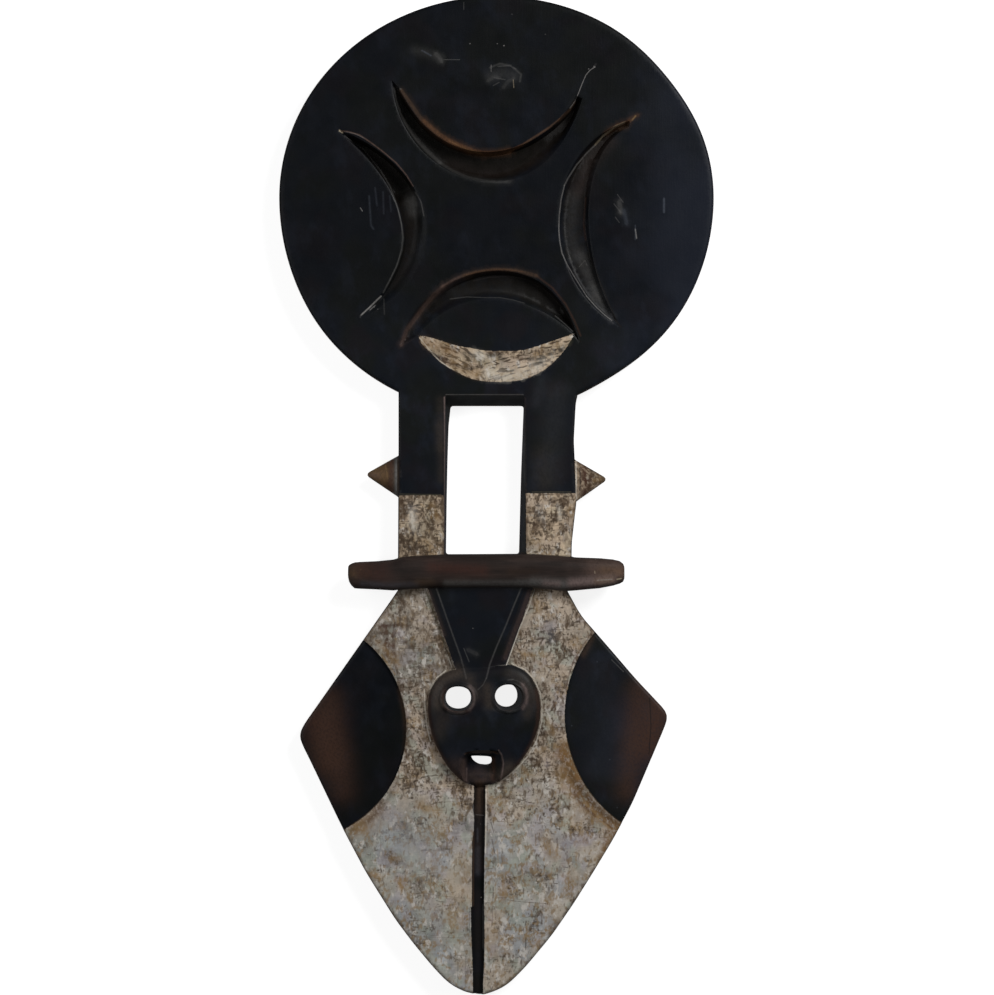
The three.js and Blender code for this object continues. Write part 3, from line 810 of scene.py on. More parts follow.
        ("grey", 7, 0.6, [(56, -129), (105, -132)]), ("rose", 5, 0.8, [(72, -131), (92, -132)]),
        ("slate", 4.5, 0.25, [(-200, -131), (-160, -134), (-120, -133)]),
        ("rose", 7, 1.0, [(112, -130), (145, -127.5), (172, -125)]),
        ("pale", 1.6, 0.7, [(150, -126), (165, -125), (173, -124.5)]),
        ("cream", 1.4, 0.7, [(180, -124.5), (187, -123.5)]),
        ("dark", 3, 0.4, [(-216, -124), (-190, -133)]), ("umber", 6, 0.35, [(-118, -129), (-98, -129)]),
        ("grey", 7, 0.25, [(34, -130), (54, -130)]), ("tan", 5, 0.3, [(150, -127), (172, -125)]),
    ],
    "wedge": [
        # the grey strokes on both ridges and the chalk line down the right border are worn arrises with a
        # painted highlight, the pink on the right shoulder is partly painted light, and the dark stroke down
        # the left side is painted shade
        ("grey", 1.9, 0.5, [(-90, -138), (-72, -190), (-54, -240), (-49, -258), (-45, -273)]),
        ("grey", 1.2, 0.5, [(-49, -228), (-41, -248)]), ("grey", 3.0, 0.3, [(-43, -230), (-29, -237)]),
        ("pale", 1.2, 0.6, [(-35.5, -198)]),
        ("grey", 1.9, 0.48, [(37, -138), (26, -164), (14, -194), (0, -226), (-10, -252), (-15, -272)]),
        ("grey", 1.2, 0.5, [(-15, -272), (-20, -282), (-28, -290)]),
        ("dark", 1.4, 0.8, [(42, -140), (30, -178), (12, -222)]),
        ("pink", 3.6, 0.35, [(50, -142), (38, -176), (25, -208), (13, -243)]),
        ("pink", 3.0, 0.3, [(-101, -142), (-88, -178), (-78, -208)]),
        ("olive", 1.8, 0.6, [(-106, -142), (-92, -182), (-78, -222)]),
        ("dark", 3, 0.5, [(-96, -150), (-78, -200), (-66, -236)]),
        ("chalk", 1.4, 0.9, [(57, -140), (47, -170), (35, -198), (18, -245), (15, -253)]),
        ("brown", 1.3, 0.8, [(-110, -150), (-101, -178)]),
        ("brown", 1.2, 0.8, [(-87, -208), (-82, -225)]), ("chalk", 1.2, 0.7, [(-74, -238), (-67, -257)]),
        ("brown", 1.4, 0.7, [(-77, -245), (-73, -258)]),
    ],
    "face": [
        # round the eyes: the rose strokes on the right flanks of the rings are worn wood with a painted
        # highlight, and the dark stroke at the right edge of the right eye is painted shade of its hole's
        # wall
        ("dusk", 11, 0.8, [(-88, -310), (-92, -290), (-80, -272), (-58, -264)]),
        ("dusk", 9, 0.5, [(-32, -298), (-40, -274)]), ("dusk", 8, 0.6, [(-14, -286), (-11, -312)]),
        ("dusk", 9, 0.4, [(20, -266), (44, -276), (56, -300), (46, -326)]),
        ("dusk", 12, 0.3, [(-80, -335), (-88, -355)]),
        ("rose", 2.6, 0.5, [(-40, -284), (-35, -291), (-33.5, -302), (-35, -312), (-41, -320)]),
        ("bark", 3.0, 0.4, [(-45, -322), (-57, -324), (-70, -321), (-79, -313), (-81, -300),
                            (-78, -289)]),
        ("grey", 2.6, 0.2, [(-82.5, -286), (-84.5, -300), (-82, -314)]),
        ("grey", 2.6, 0.25, [(-72, -323.5), (-60, -326), (-48, -323)]),
        ("dark", 2.6, 0.8, [(37, -288), (40, -296), (40.5, -305), (37, -313)]),
        ("rose", 2.8, 0.65, [(39, -281), (44, -290), (46, -299), (44, -309), (39, -317)]),
        ("grey", 2.6, 0.25, [(-4, -318), (8, -322), (20, -323), (32, -319)]),
        ("grey", 1.6, 0.5, [(17, -275), (26, -274)]), ("slate", 5, 0.06, [(-18, -318), (-6, -332)]),
        # edges of the face: the chalk line along its right border is the white paint's edge with a painted
        # highlight on the lit wall
        ("bark", 3.4, 0.5, [(-101, -300), (-102, -325), (-99, -350), (-88, -380), (-72, -405),
                            (-55, -422)]),
        ("bark", 3.2, 0.5, [(60, -290), (63, -315), (62, -340), (55, -365), (40, -392), (22, -412),
                            (2, -425)]),
        ("chalk", 1.5, 0.75, [(23, -251.5), (43, -260.5), (56.5, -274.5), (65.3, -294.5), (68.7, -318),
                              (67.8, -339), (60.4, -367), (47.7, -389.8), (30, -409.6), (10, -425.5)]),
        ("chalk", 1.4, 0.8, [(-108, -290), (-107, -320), (-104, -348), (-99, -368)]),
        ("dark", 0.9, 0.6, [(-110, -296), (-109.5, -322), (-106, -350)]),
        ("chalk", 1.4, 0.8, [(-76, -262), (-90, -273), (-100, -290)]),
        # mouth: the rose strokes on its upper lip, its left flare and its right arris, and the pink on its
        # left flare, are worn wood with a painted highlight; the bark stroke down its right wall and the two
        # dark strokes under the slot are painted shade
        ("brown", 2.2, 0.85, [(-47, -386), (-38, -384), (-20, -383), (-5, -384), (2, -386)]),
        ("rust", 1.1, 0.6, [(-46, -384), (-34, -381.5), (-15, -381), (0, -383)]),
        ("rose", 2.2, 0.7, [(-38, -385.5), (-8, -386)]),
        ("pink", 4.5, 0.4, [(-50, -396), (-50, -412), (-47, -428)]),
        ("rose", 1.5, 0.6, [(-44.5, -408), (-45, -427)]), ("earth", 14, 0.7, [(-62, -404)]),
        ("earth", 9, 0.8, [(-38, -420), (-26, -414), (-12, -421)]),
        ("pink", 5, 0.2, [(-30, -428), (-18, -426)]), ("bark", 3.5, 0.7, [(-5, -395), (-5, -425)]),
        ("dusk", 12, 0.8, [(18, -408), (8, -420)]),
        ("rose", 2.0, 0.75, [(3, -380), (8, -388), (10, -400), (8.5, -415), (6.5, -425)]),
        ("dark", 2.4, 0.7, [(-38, -404), (-34, -408)]), ("dark", 2.4, 0.7, [(-8, -405), (-6, -416)]),
    ],
    "groove": [
        ("brown", 6, 0.8, [(-25, -433), (-25, -455), (-26, -474)]),
        ("dark", 1.2, 0.7, [(-23, -440), (-23, -476)]), ("pale", 0.9, 0.6, [(-31, -479), (-19, -480)]),
        ("pale", 1.0, 0.6, [(-24, -493)]), ("slate", 2.4, 0.5, [(-28.5, -500), (-28.5, -520)]),
        ("slate", 4, 0.35, [(-28, -530), (-28, -565)]), ("earth", 9, 0.5, [(-27, -470), (-27, -560)]),
        ("earth", 9, 0.2, [(-27, -600), (-28, -760)]),
        # the chalk and pale strokes down the right arris are the white paint's edge with a painted highlight,
        # and the brown stroke on the left wall below is bare wood, partly painted light
        ("chalk", 1.4, 0.9, [(-15.5, -440), (-15.5, -480), (-16, -510), (-16.5, -536)]),
        ("pale", 1.1, 0.6, [(-17, -536), (-17.5, -570), (-18, -600)]),
        ("brown", 2.2, 0.85, [(-34.5, -505), (-35, -560), (-35, -616)]),
        ("dark", 1.0, 0.9, [(-40, -617), (-32, -617)]),
        ("grey", 1.0, 0.7, [(-40.5, -619), (-40.5, -655)]),
        ("grey", 1.8, 0.6, [(-20, -614), (-20, -680)]), ("chalk", 1.2, 0.7, [(-23, -603)]),
        ("pale", 1.2, 0.5, [(-35, -463), (-35, -477)]),
    ],
    "field": [
        # under the face, left and right of the groove
        ("brown", 1.5, 0.8, [(-46, -480)]), ("brown", 1.4, 0.8, [(-47, -495)]),
        ("dark", 1.4, 0.7, [(-52, -502)]), ("brown", 1.6, 0.8, [(-60, -515)]),
        ("brown", 1.3, 0.8, [(-72, -516)]), ("dark", 1.3, 0.7, [(8, -444)]),
        ("brown", 1.2, 0.8, [(3, -438)]), ("dark", 1.5, 0.7, [(-10, -450)]),
        ("brown", 1.4, 0.8, [(-8, -462)]), ("dark", 2.6, 0.6, [(-9, -476), (-9, -489)]),
        ("dark", 0.9, 0.7, [(-8, -490), (-4, -505)]), ("brown", 1.6, 0.8, [(-7, -515), (-3, -535)]),
        ("ochre", 1.8, 0.6, [(1, -530), (3, -555)]), ("brown", 1.5, 0.8, [(-5, -587), (-5, -603)]),
        ("brown", 1.0, 0.8, [(2, -603), (15, -603)]), ("ochre", 3.5, 0.45, [(10, -567), (11, -600)]),
        ("pink", 1.4, 0.45, [(-6, -602), (-6, -640)]), ("pink", 1.2, 0.4, [(-1, -602), (-1, -636)]),
        ("ochre", 1.5, 0.6, [(13, -673)]), ("grey", 5, 0.3, [(-44, -642), (-43, -720)]),
        # right of the groove
        ("ochre", 10, 0.55, [(72, -513), (86, -538)]), ("brown", 4.5, 0.5, [(36, -558), (40, -578)]),
        ("brown", 1.3, 0.8, [(61, -507)]), ("brown", 1.1, 0.8, [(91, -513), (91, -528)]),
        ("brown", 1.3, 0.8, [(77, -532)]), ("brown", 1.3, 0.8, [(80, -549)]),
        ("dark", 1.2, 0.7, [(22, -490)]), ("dark", 1.1, 0.7, [(31, -495)]),
        ("brown", 1.3, 0.8, [(40, -514)]), ("dark", 1.1, 0.7, [(32, -528)]),
        ("brown", 1.2, 0.8, [(41, -538)]), ("dark", 1.2, 0.7, [(52, -536)]),
        ("ochre", 2.0, 0.6, [(38, -558), (40, -579)]), ("brown", 3.2, 0.5, [(50, -566), (56, -570)]),
        ("ochre", 1.0, 0.4, [(-11, -564), (-11, -603)]), ("ochre", 1.0, 0.4, [(-2, -561), (-2, -606)]),
        ("ochre", 1.0, 0.35, [(8, -564), (10, -603)]),
        ("brown", 0.8, 0.8, [(16, -606), (28, -608), (50, -610), (77, -612)]),
        ("brown", 0.8, 0.6, [(-119, -594), (-85, -600), (-47, -604)]),
        ("dark", 1.0, 0.7, [(41, -588), (41, -602)]), ("dark", 1.0, 0.7, [(56, -636), (56, -657)]),
        ("dark", 1.5, 0.9, [(44, -663), (44, -681)]), ("brown", 1.1, 0.8, [(68, -628), (68, -644)]),
        ("dark", 1.6, 0.6, [(65, -656), (74, -656)]), ("brown", 1.1, 0.7, [(38, -688), (38, -708)]),
        ("ochre", 2.2, 0.6, [(5, -672), (23, -674)]), ("brown", 3.5, 0.6, [(91, -638), (89, -657)]),
        ("brown", 3.0, 0.6, [(145, -562), (148, -574)]), ("brown", 2.0, 0.6, [(161, -520)]),
        ("lilac", 9, 0.5, [(104, -520), (133, -519)]), ("lilac", 7, 0.35, [(104, -542), (98, -568)]),
        ("tan", 12, 1.0, [(98, -384), (108, -412), (122, -438), (140, -460), (165, -482), (188, -497)]),
        ("umber", 6, 0.8, [(108, -400), (118, -428), (134, -450), (158, -474), (180, -490)]),
        ("tan", 6, 1.0, [(103, -374), (110, -398), (124, -424)]),
        ("ochre", 3, 0.8, [(132, -462), (150, -480), (172, -500)]),
        ("tan", 8, 0.8, [(176, -500), (166, -520), (158, -540)]),
        ("dusk", 4, 0.6, [(128, -596), (112, -616), (100, -634)]),
        ("ochre", 9, 0.5, [(95, -418), (104, -441), (122, -465), (146, -486)]),
        ("rust", 2.6, 0.8, [(115, -444), (128, -462), (148, -480)]),
        ("rust", 2.2, 0.7, [(158, -486), (173, -498)]),
        ("tan", 11, 1.0, [(-213, -500), (-196, -488), (-178, -472)]),
        ("olive", 4, 0.5, [(-220, -502), (-202, -492)]),
        ("brown", 9, 0.6, [(-179, -208), (-167, -224), (-157, -242)]),
        ("tan", 6, 0.6, [(-187, -236), (-172, -264), (-163, -291)]),
        ("bark", 3.0, 0.9, [(-165, -198), (-164, -240)]),
        ("bark", 2.8, 1.0, [(-155, -198), (-154, -246)]), ("olive", 3, 0.5, [(-176, -232), (-166, -250)]),
        ("rust", 3, 0.6, [(-179, -222), (-167, -222), (-157, -224)]),
        ("olive", 3, 0.5, [(-160, -264), (-151, -285), (-142, -306)]),
        # left of the groove
        ("haze", 34, 0.45, [(-160, -490), (-115, -540)]), ("ochre", 9, 0.7, [(-112, -466), (-90, -474)]),
        ("brown", 1.8, 0.8, [(-108, -470)]), ("brown", 1.6, 0.8, [(-98, -466)]),
        ("brown", 1.5, 0.8, [(-88, -476)]), ("brown", 9, 0.65, [(-166, -538), (-148, -546)]),
        ("umber", 3, 0.8, [(-160, -534), (-150, -552)]), ("ochre", 5, 0.7, [(-186, -565), (-176, -573)]),
        ("ochre", 4, 0.8, [(-145, -578), (-144, -588)]), ("brown", 3, 0.7, [(-120, -578), (-120, -588)]),
        ("dark", 5, 0.5, [(-48, -488), (-42, -500)]), ("ochre", 2.6, 0.6, [(-47, -532), (-46, -576)]),
        ("ochre", 2.6, 0.5, [(-40, -540), (-40, -570)]), ("olive", 4, 0.4, [(-80, -512), (-78, -528)]),
        ("dusk", 4, 0.4, [(-62, -506), (-60, -518)]), ("ochre", 2.0, 0.6, [(-100, -474)]),
        ("ochre", 4.5, 0.45, [(-158, -543), (-145, -543)]), ("ochre", 3.5, 0.5, [(-182, -568)]),
        ("ochre", 3.0, 0.4, [(-118, -576)]),
        ("brown", 0.8, 0.4, [(-145, -657), (-100, -662), (-52, -663)]),
        ("cream", 12, 0.25, [(-60, -530), (-60, -640)]), ("pink", 6, 0.25, [(-50, -560), (-50, -614)]),
        ("ochre", 9, 0.35, [(-220, -483), (-199, -501)]), ("grey", 1.1, 0.5, [(-58, -684), (-58, -734)]),
        ("grey", 1.1, 0.5, [(-46, -688), (-47, -738)]), ("lilac", 10, 0.3, [(-100, -606), (-85, -651)]),
        ("lilac", 9, 0.3, [(-115, -524), (-97, -546)]),
        # beside the face and up to the bar, left
        ("brown", 2.5, 0.7, [(-149, -218), (-136, -219)]),
        ("grey", 2.5, 0.5, [(-132, -173), (-132, -231)]), ("lilac", 7, 0.5, [(-146, -204), (-142, -211)]),
        ("rust", 6, 0.4, [(-180, -190), (-164, -202)]), ("grey", 1.4, 0.5, [(-141, -236), (-112, -235)]),
        ("brown", 2.6, 0.5, [(-146, -152), (-145, -186)]),
        ("bark", 2.6, 1.0, [(-172, -195), (-150, -194)]),
        ("brown", 2.5, 0.7, [(-150, -194), (-127, -195)]),
        ("ochre", 4.5, 0.45, [(-179, -219), (-163, -234), (-146, -254)]),
        ("brown", 1.4, 0.6, [(-182, -216), (-169, -225)]), ("brown", 2.0, 0.7, [(-95, -252)]),
        ("dark", 1.3, 0.7, [(-88, -264)]), ("brown", 1.5, 0.8, [(-83, -279)]),
        ("brown", 1.4, 0.8, [(-94, -285)]), ("dark", 1.2, 0.7, [(-103, -273)]),
        ("dark", 1.2, 0.6, [(-100, -258)]), ("ochre", 3.0, 0.5, [(-98, -376), (-94, -402)]),
        ("ochre", 3.0, 0.4, [(-109, -258), (-100, -270)]),
        ("brown", 1.0, 0.6, [(-155, -177), (-151, -207)]),
        ("brown", 0.9, 0.6, [(-139, -165), (-133, -189)]),
        # beside the face and up to the bar, right
        ("ochre", 4.0, 0.6, [(61, -159), (62, -172)]), ("brown", 2.2, 0.7, [(52, -188), (53, -196)]),
        ("ochre", 4.0, 0.6, [(41, -238), (55, -238)]), ("brown", 1.6, 0.7, [(31, -242), (40, -252)]),
        ("ochre", 3.6, 0.6, [(62, -249), (73, -258)]), ("brown", 1.6, 0.7, [(70, -282)]),
        ("rust", 2.0, 0.6, [(86, -309), (88, -322)]), ("ochre", 5.0, 0.45, [(77, -339), (85, -356)]),
        ("brown", 1.0, 0.7, [(67, -366), (89, -368)]), ("ochre", 3.8, 0.5, [(59, -381), (70, -380)]),
        ("ochre", 4.0, 0.5, [(40, -408), (47, -418)]), ("slate", 9, 0.4, [(79, -189), (82, -216)]),
        ("brown", 1.1, 0.8, [(74, -210)]), ("dark", 1.1, 0.7, [(82, -214)]),
        ("dark", 1.1, 0.7, [(88, -258)]), ("lilac", 3.5, 0.45, [(74, -396), (76, -405)]),
        ("dark", 3.0, 0.5, [(89, -399), (98, -400)]), ("dark", 2.2, 0.6, [(79, -414)]),
        ("dark", 1.3, 0.7, [(25, -432)]), ("dark", 2.0, 0.5, [(5, -442)]),
        ("ochre", 2.0, 0.7, [(63, -158)]), ("ochre", 1.8, 0.7, [(53, -185)]),
        ("brown", 1.2, 0.7, [(50, -195)]), ("ochre", 3.0, 0.5, [(42, -237), (40, -244)]),
        ("brown", 1.2, 0.7, [(52, -238)]),
    ],
    "lobes": [
        # the pink stroke along the right lobe's upper-left border is partly a painted highlight on the lit
        # wall of the white field
        ("pink", 1.6, 0.8, [(143, -204), (130, -224), (118, -243), (109, -267), (104, -291)]),
        ("grey", 1.2, 0.6, [(173, -246), (191, -264)]), ("brown", 5, 0.6, [(142, -213), (130, -238)]),
        ("brown", 1.6, 0.8, [(113, -452)]), ("brown", 1.6, 0.8, [(130, -465)]),
        ("brown", 1.6, 0.8, [(155, -484)]), ("brown", 1.4, 0.8, [(173, -495)]),
        ("ochre", 1.4, 0.6, [(-173, -238), (-163, -252), (-152, -268)]),
        ("brown", 3.5, 0.7, [(-145, -291), (-137, -328), (-134, -358), (-137, -396)]),
        ("brown", 4.0, 0.5, [(-148, -426), (-167, -460), (-193, -489)]),
        ("bark", 26, 0.7, [(-268, -339), (-253, -396)]), ("bark", 22, 0.5, [(-250, -306), (-232, -441)]),
        ("bark", 26, 0.85, [(245, -318), (227, -374)]), ("bark", 20, 0.6, [(215, -291), (197, -441)]),
        ("dark", 1.2, 0.9, [(230, -303), (232, -344), (229, -388)]),
        ("grey", 45, 0.05, [(150, -260), (160, -400)]), ("slate", 1.4, 0.4, [(151, -249)]),
        ("slate", 1.4, 0.4, [(113, -345)]), ("slate", 1.5, 0.4, [(170, -396)]),
        ("slate", 1.4, 0.4, [(181, -468)]),
    ],
}

marksStayOn = {  # marks on the white paint and on the spikes end at their borders
    "white": ("whiteCrescent", "field"),
    "spikes": ("spikes",),
    "anywhere": ("disc", "crescents", "legs", "bar", "wedge", "face", "groove", "lobes"),
}
broadMark = 2.5  # from this half width on, a mark fades out softly
softMark = 4.0  # and from this one it needs no edge of its own in the mesh


def marksOn(area):
    return [mark for name in marksStayOn[area] for mark in marks[name]]


def markLine(line):
    # a dot becomes a very short line
    line = np.array(line, float)
    return np.vstack([line, line + (0.4, 0)]) if len(line) == 1 else line


def ringRound(line, reach):
    # a closed outline at a distance all round a line
    runs = np.vstack([line[1:2] - line[:1], line[2:] - line[:-2], line[-1:] - line[-2:-1]])
    along, side = reach * unit(runs), reach * leftOf(runs)
    return np.vstack([line[:1] - along[:1], line + side, line[-1:] + along[-1:], (line - side)[::-1]])


def markLines():
    # the lines that give a mark its edge in the mesh
    lines = []
    for _, half, _, line in marksOn("white") + marksOn("spikes") + marksOn("anywhere"):
        line = cornerSteps(markLine(line), max(2.4, 0.7 * half), closed=False)
        if half < broadMark:
            lines += [(line, False), (ringRound(line, half), True)]
        elif half < softMark:
            lines += [(ringRound(line, 0.6 * half), True), (ringRound(line, 1.3 * half), True)]
    for border in (crescentTop, crescentBottom, paintLimits["leftLeg"], paintLimits["rightLeg"]):
        lines.append((cornerSteps(border, 4, closed=False), False))
    return lines


def markColours(points, white):
    # red, green, blue and cover of all the marks at each point
    made = np.zeros((len(points), 4))
    areas = {
        "white": np.clip(0.5 + white / 1.5, 0, 1),
        "spikes": np.clip(0.5 - depthIn(points, outlines["legs"], within=30) / 1.5, 0, 1),
        "anywhere": 1,
    }
    for area, share in areas.items():
        for tint, half, strength, line in marksOn(area):
            gap, _ = nearest(points, markLine(line), within=2 * half)
            cover = np.clip(1 - gap / half, 0, 1) if half < broadMark else np.exp(-((gap / half) ** 2))
            cover = (strength * cover * share)[:, None]
            colour = np.append(tints[tint], 1.0)
            made = made * (1 - cover) + colour * cover
    return made


# The back, left from the adze, with a hollow behind the face.

back = {
    "hollow": (-20, -345),
    "half": (98, 122),
    "floorHalf": (80, 102),
    "depth": 24,
    "wornEdge": 3,
    "adze": 0.7,  # half the depth of the cuts
    "adzeWidth": 22,
    "hollowUneven": [(0.6, 11, 32)],
    "gap": 8,
}


def partOf(points, name):
    # which points lie on a part of the mask, their places, and how far inside its outline they are
    into = depthIn(points, outlines[name], within=40)
    on = into > -0.05
    return on, points[on], into[on]


def backHeight(points):
    height = np.full(len(points), 200.0)
    for name in ("disc", "legs", "plate"):
        on, some, into = partOf(points, name)
        cuts = back["adze"] * (1 + lumps(some * (1, 0.5), back["adzeWidth"], 31))
        height[on] = np.minimum(height[on], roundOff(into, back["wornEdge"]) + cuts)
    offset = points - np.array(back["hollow"])
    out = np.hypot(*(offset / np.array(back["half"])).T)
    floor = np.mean(np.array(back["floorHalf"]) / np.array(back["half"]))
    deep = back["depth"] * soften(1 - out, 0, 1 - floor) + swells(points, back["hollowUneven"])
    height = np.where(out < 1, np.maximum(height, deep), height)
    for side in ("left", "right"):
        on, some, _ = partOf(points, side + "Spike")
        height[on] = np.minimum(height[on], spikeSurface(some, spikes[side])[0])
    on, some, _ = partOf(points, "bar")
    height[on] = np.minimum(height[on], barSurface(some)[0])
    return height


def frontHeight(points):
    height = np.full(len(points), -200.0)

    on, some, into = partOf(points, "disc")
    face = disc["face"] + swells(some, disc["uneven"])
    for hollow in crescents.values():
        face -= hollowDrop(some, hollow)
    height[on] = face - roundOff(into, disc["wornEdge"])

    on, some, into = partOf(points, "legs")
    face = legs["face"] + swells(some, legs["uneven"]) - roundOff(into, legs["wornEdge"])
    face -= roundOff(-depthIn(some, outlines["windowFront"], within=60), legs["windowWorn"])
    height[on] = np.maximum(height[on], face)

    on, some, into = partOf(points, "plate")
    face = plateHeight(some, outlines["face"]) + swells(some, plate["uneven"])
    height[on] = np.maximum(height[on], face - roundOff(into, plate["wornEdge"]))

    for side in ("left", "right"):
        on, some, _ = partOf(points, side + "Spike")
        height[on] = np.maximum(height[on], spikeSurface(some, spikes[side])[1])

    on, some, _ = partOf(points, "bar")
    _, top, across = barSurface(some)
    rough = swells(some * bar["unevenStretch"], bar["uneven"]) - bar["sunk"]
    height[on] = np.maximum(height[on], top + rough * np.clip(1 - across, 0, 1))
    return height


# Points in the plane, joined into triangles.

def triangulate(points, lines, keep):
    # every line stays as edges of the triangles, and keep says which triangle centres stay
    corners = [np.asarray(points, float)]
    edges = []
    total = len(corners[0])
    for line, closed in lines:
        count = len(line)
        ids = np.arange(total, total + count)
        corners.append(line)
        edges += list(zip(ids[:-1], ids[1:]))
        if closed:
            edges.append((ids[-1], ids[0]))
        total += count
    flat = [Vector(p) for p in np.vstack(corners)]
    edges = [(int(a), int(b)) for a, b in edges]
    made, _, faces, _, _, _ = delaunay_2d_cdt(flat, edges, [], 0, 0.004)
    made = np.array([tuple(v) for v in made])
    faces = np.array(faces)
    a, b, c = made[faces[:, 0]], made[faces[:, 1]], made[faces[:, 2]]
    area = (b[:, 0] - a[:, 0]) * (c[:, 1] - a[:, 1]) - (b[:, 1] - a[:, 1]) * (c[:, 0] - a[:, 0])
    faces[area < 0] = faces[area < 0][:, ::-1]
    faces = faces[keep((a + b + c) / 3)]
    used, faces = np.unique(faces, return_inverse=True)
    return made[used], faces.reshape(-1, 3)


def rimLoops(faces):
    # the loops of edges that have a triangle on one side only, the longest first
    edges = {(int(a), int(b)) for face in faces for a, b in zip(face, np.roll(face, -1))}
    follow = {a: b for a, b in edges if (b, a) not in edges}
    loops = []
    while follow:
        start = min(follow)
        loop = [start]
        step = follow.pop(start)
        while step != start:
            loop.append(step)
            step = follow.pop(step)
        loops.append(np.array(loop))
    return sorted(loops, key=len, reverse=True)


def joinOutlines(outlines):
    # one outline round several that overlap
    def keep(centres):
        return np.any([inside(centres, outline) for outline in outlines], axis=0)

    points, faces = triangulate(np.zeros((0, 2)), [(outline, True) for outline in outlines], keep)
    loop = points[rimLoops(faces)[0]]
    gaps = np.hypot(*(np.roll(loop, -1, axis=0) - loop).T)
    return loop[gaps > 0.8]


def offsetPoints(rim, distance, clearOf):
    # points at a distance to the left of a rim, where that keeps clear of all the rims
    moved = rim + distance * leftOf(np.roll(rim, -1, axis=0) - np.roll(rim, 1, axis=0))
    gap = np.min([nearest(moved, other, closed=True, within=20)[0] for other in clearOf], axis=0)
    return moved[gap > 0.9 * abs(distance)]


def hexGrid(outline, gap, seed, stray=0.16):
    # loose points in rows inside an outline, each moved by up to a share of the gap
    (lowX, lowY), (highX, highY) = outline.min(0), outline.max(0)
    rows = np.arange(lowY, highY, gap * 0.866)
    columns = np.arange(lowX, highX, gap)
    x, y = np.meshgrid(columns, rows)
    x[1::2] += gap / 2
    points = np.column_stack([x.ravel(), y.ravel()])
    points += np.random.default_rng(seed).uniform(-stray, stray, points.shape) * gap
    return points[inside(points, outline)]


def clearPoints(points, fixed, gap):
    # only the points that are no nearer than gap to the fixed ones
    tree = KDTree(len(fixed))
    for i, (x, y) in enumerate(fixed):
        tree.insert((x, y, 0), i)
    tree.balance()
    return points[[tree.find((x, y, 0))[2] > gap for x, y in points]]


print("drawing the outlines")
outlines = {
    "disc": discOutline(),
    "legs": cornerSteps(rounded(legs["outline"], 6, gap=3), 3),
    "plate": plateOutline(),
    "bar": barOutline(),
    "leftSpike": spikeOutline(spikes["left"]),
    "rightSpike": spikeOutline(spikes["right"]),
    "face": faceOutline(),
    "windowFront": evenSteps(rounded(legs["windowFront"], legs["cornerFront"]), 2.6, closed=True, count=280),
    "windowBack": evenSteps(rounded(legs["windowBack"], legs["cornerBack"]), 2.6, closed=True, count=280),
    "mouthSlot": cornerSteps(rounded(mouth["slot"], 2.5, gap=1), 1.5),
}
for side in ("left", "right"):
    eye = eyes[side]
    outlines[side + "EyeFront"] = eyeRing(eye)
    outlines[side + "EyeBack"] = eyeRing(eye, end="back")
around = joinOutlines([outlines[name]
                       for name in ("disc", "legs", "plate", "bar", "leftSpike", "rightSpike")])
frontHoles = [outlines[name] for name in ("windowFront", "leftEyeFront", "rightEyeFront", "mouthSlot")]
backHoles = [outlines[name] for name in ("windowBack", "leftEyeBack", "rightEyeBack", "mouthSlot")]
print("outline round the mask:", len(around), "points")

# Lines that the mesh follows, so that every carved edge is crisp.

def turned(line):
    # the same closed line run anticlockwise
    x, y = line.T
    area = np.sum(x * np.roll(y, -1) - np.roll(x, -1) * y)
    return line if area > 0 else line[::-1]


def grown(line, distance):
    # a closed line moved out by a distance
    line = turned(line)
    return line - distance * leftOf(np.roll(line, -1, axis=0) - np.roll(line, 1, axis=0))


def runsInside(lines, clear=0.9):
    # the stretches of the lines that lie in the front surface, clear of its rims
    lines = [np.vstack([line, line[:1]]) if closed else line for line, closed in lines]
    points = np.vstack(lines)
    good = depthIn(points, around, within=20) > clear
    for hole in frontHoles:
        good &= depthIn(points, hole, within=20) < -clear
    runs = []
    for line, ok in zip(lines, np.split(good, np.cumsum([len(line) for line in lines])[:-1])):
        breaks = np.flatnonzero(np.diff(np.concatenate([[0], ok.astype(int), [0]])))
        runs += [line[a:b] for a, b in zip(breaks[::2], breaks[1::2]) if b - a > 1]
    return runs


def carvedLines():
    lines = []
    for hollow in crescents.values():
        _, _, starFloor, lobeFloor = hollowLines(hollow)
        rim = hollowRim(hollow)
        lines += [(rim, True), (grown(rim, wornRim["width"]), True)]
        lines += [(starFloor, False), (lobeFloor, False)]
    lines += [(outlines[name], True) for name in ("disc", "legs")]
    x = outlines["bar"][:, 0]
    x = np.arange(x.min() + 1, x.max() - 1, bar["gap"])
    middle, half, _, _ = barAt(x)
    for across in (*bar["lines"], 0, *[-share for share in reversed(bar["lines"])]):
        lines.append((np.column_stack([x, middle + across * half]), False))
    outer = cornerSteps(wedge["outer"], 2.8)
    lines += [(outer, True), (grown(outer, wedge["wall"]), True), (cornerSteps(wedge["ridge"], 2.8), True)]
    face = outlines["face"]
    lines += [(face, True), (grown(face, faceForm["wall"]), True)]
    for side in ("left", "right"):
        lines += [(lobeRing(lobes[side]), True), (lobeRing(lobes[side], -lobes["wall"]), True)]
        eye = eyes[side]
        for out, _ in eyes["ring"][1:]:
            lines.append((eyeRing(eye, out), True))
    lines += [(cornerSteps(line, 3), True) for line in grooveLines()]
    lines += [(cornerSteps(rounded(mouth[name], 3, gap=1.2), 1.8), True) for name in ("lip", "floor")]
    lines += markLines()
    return [(run, False) for run in runsInside(lines)]


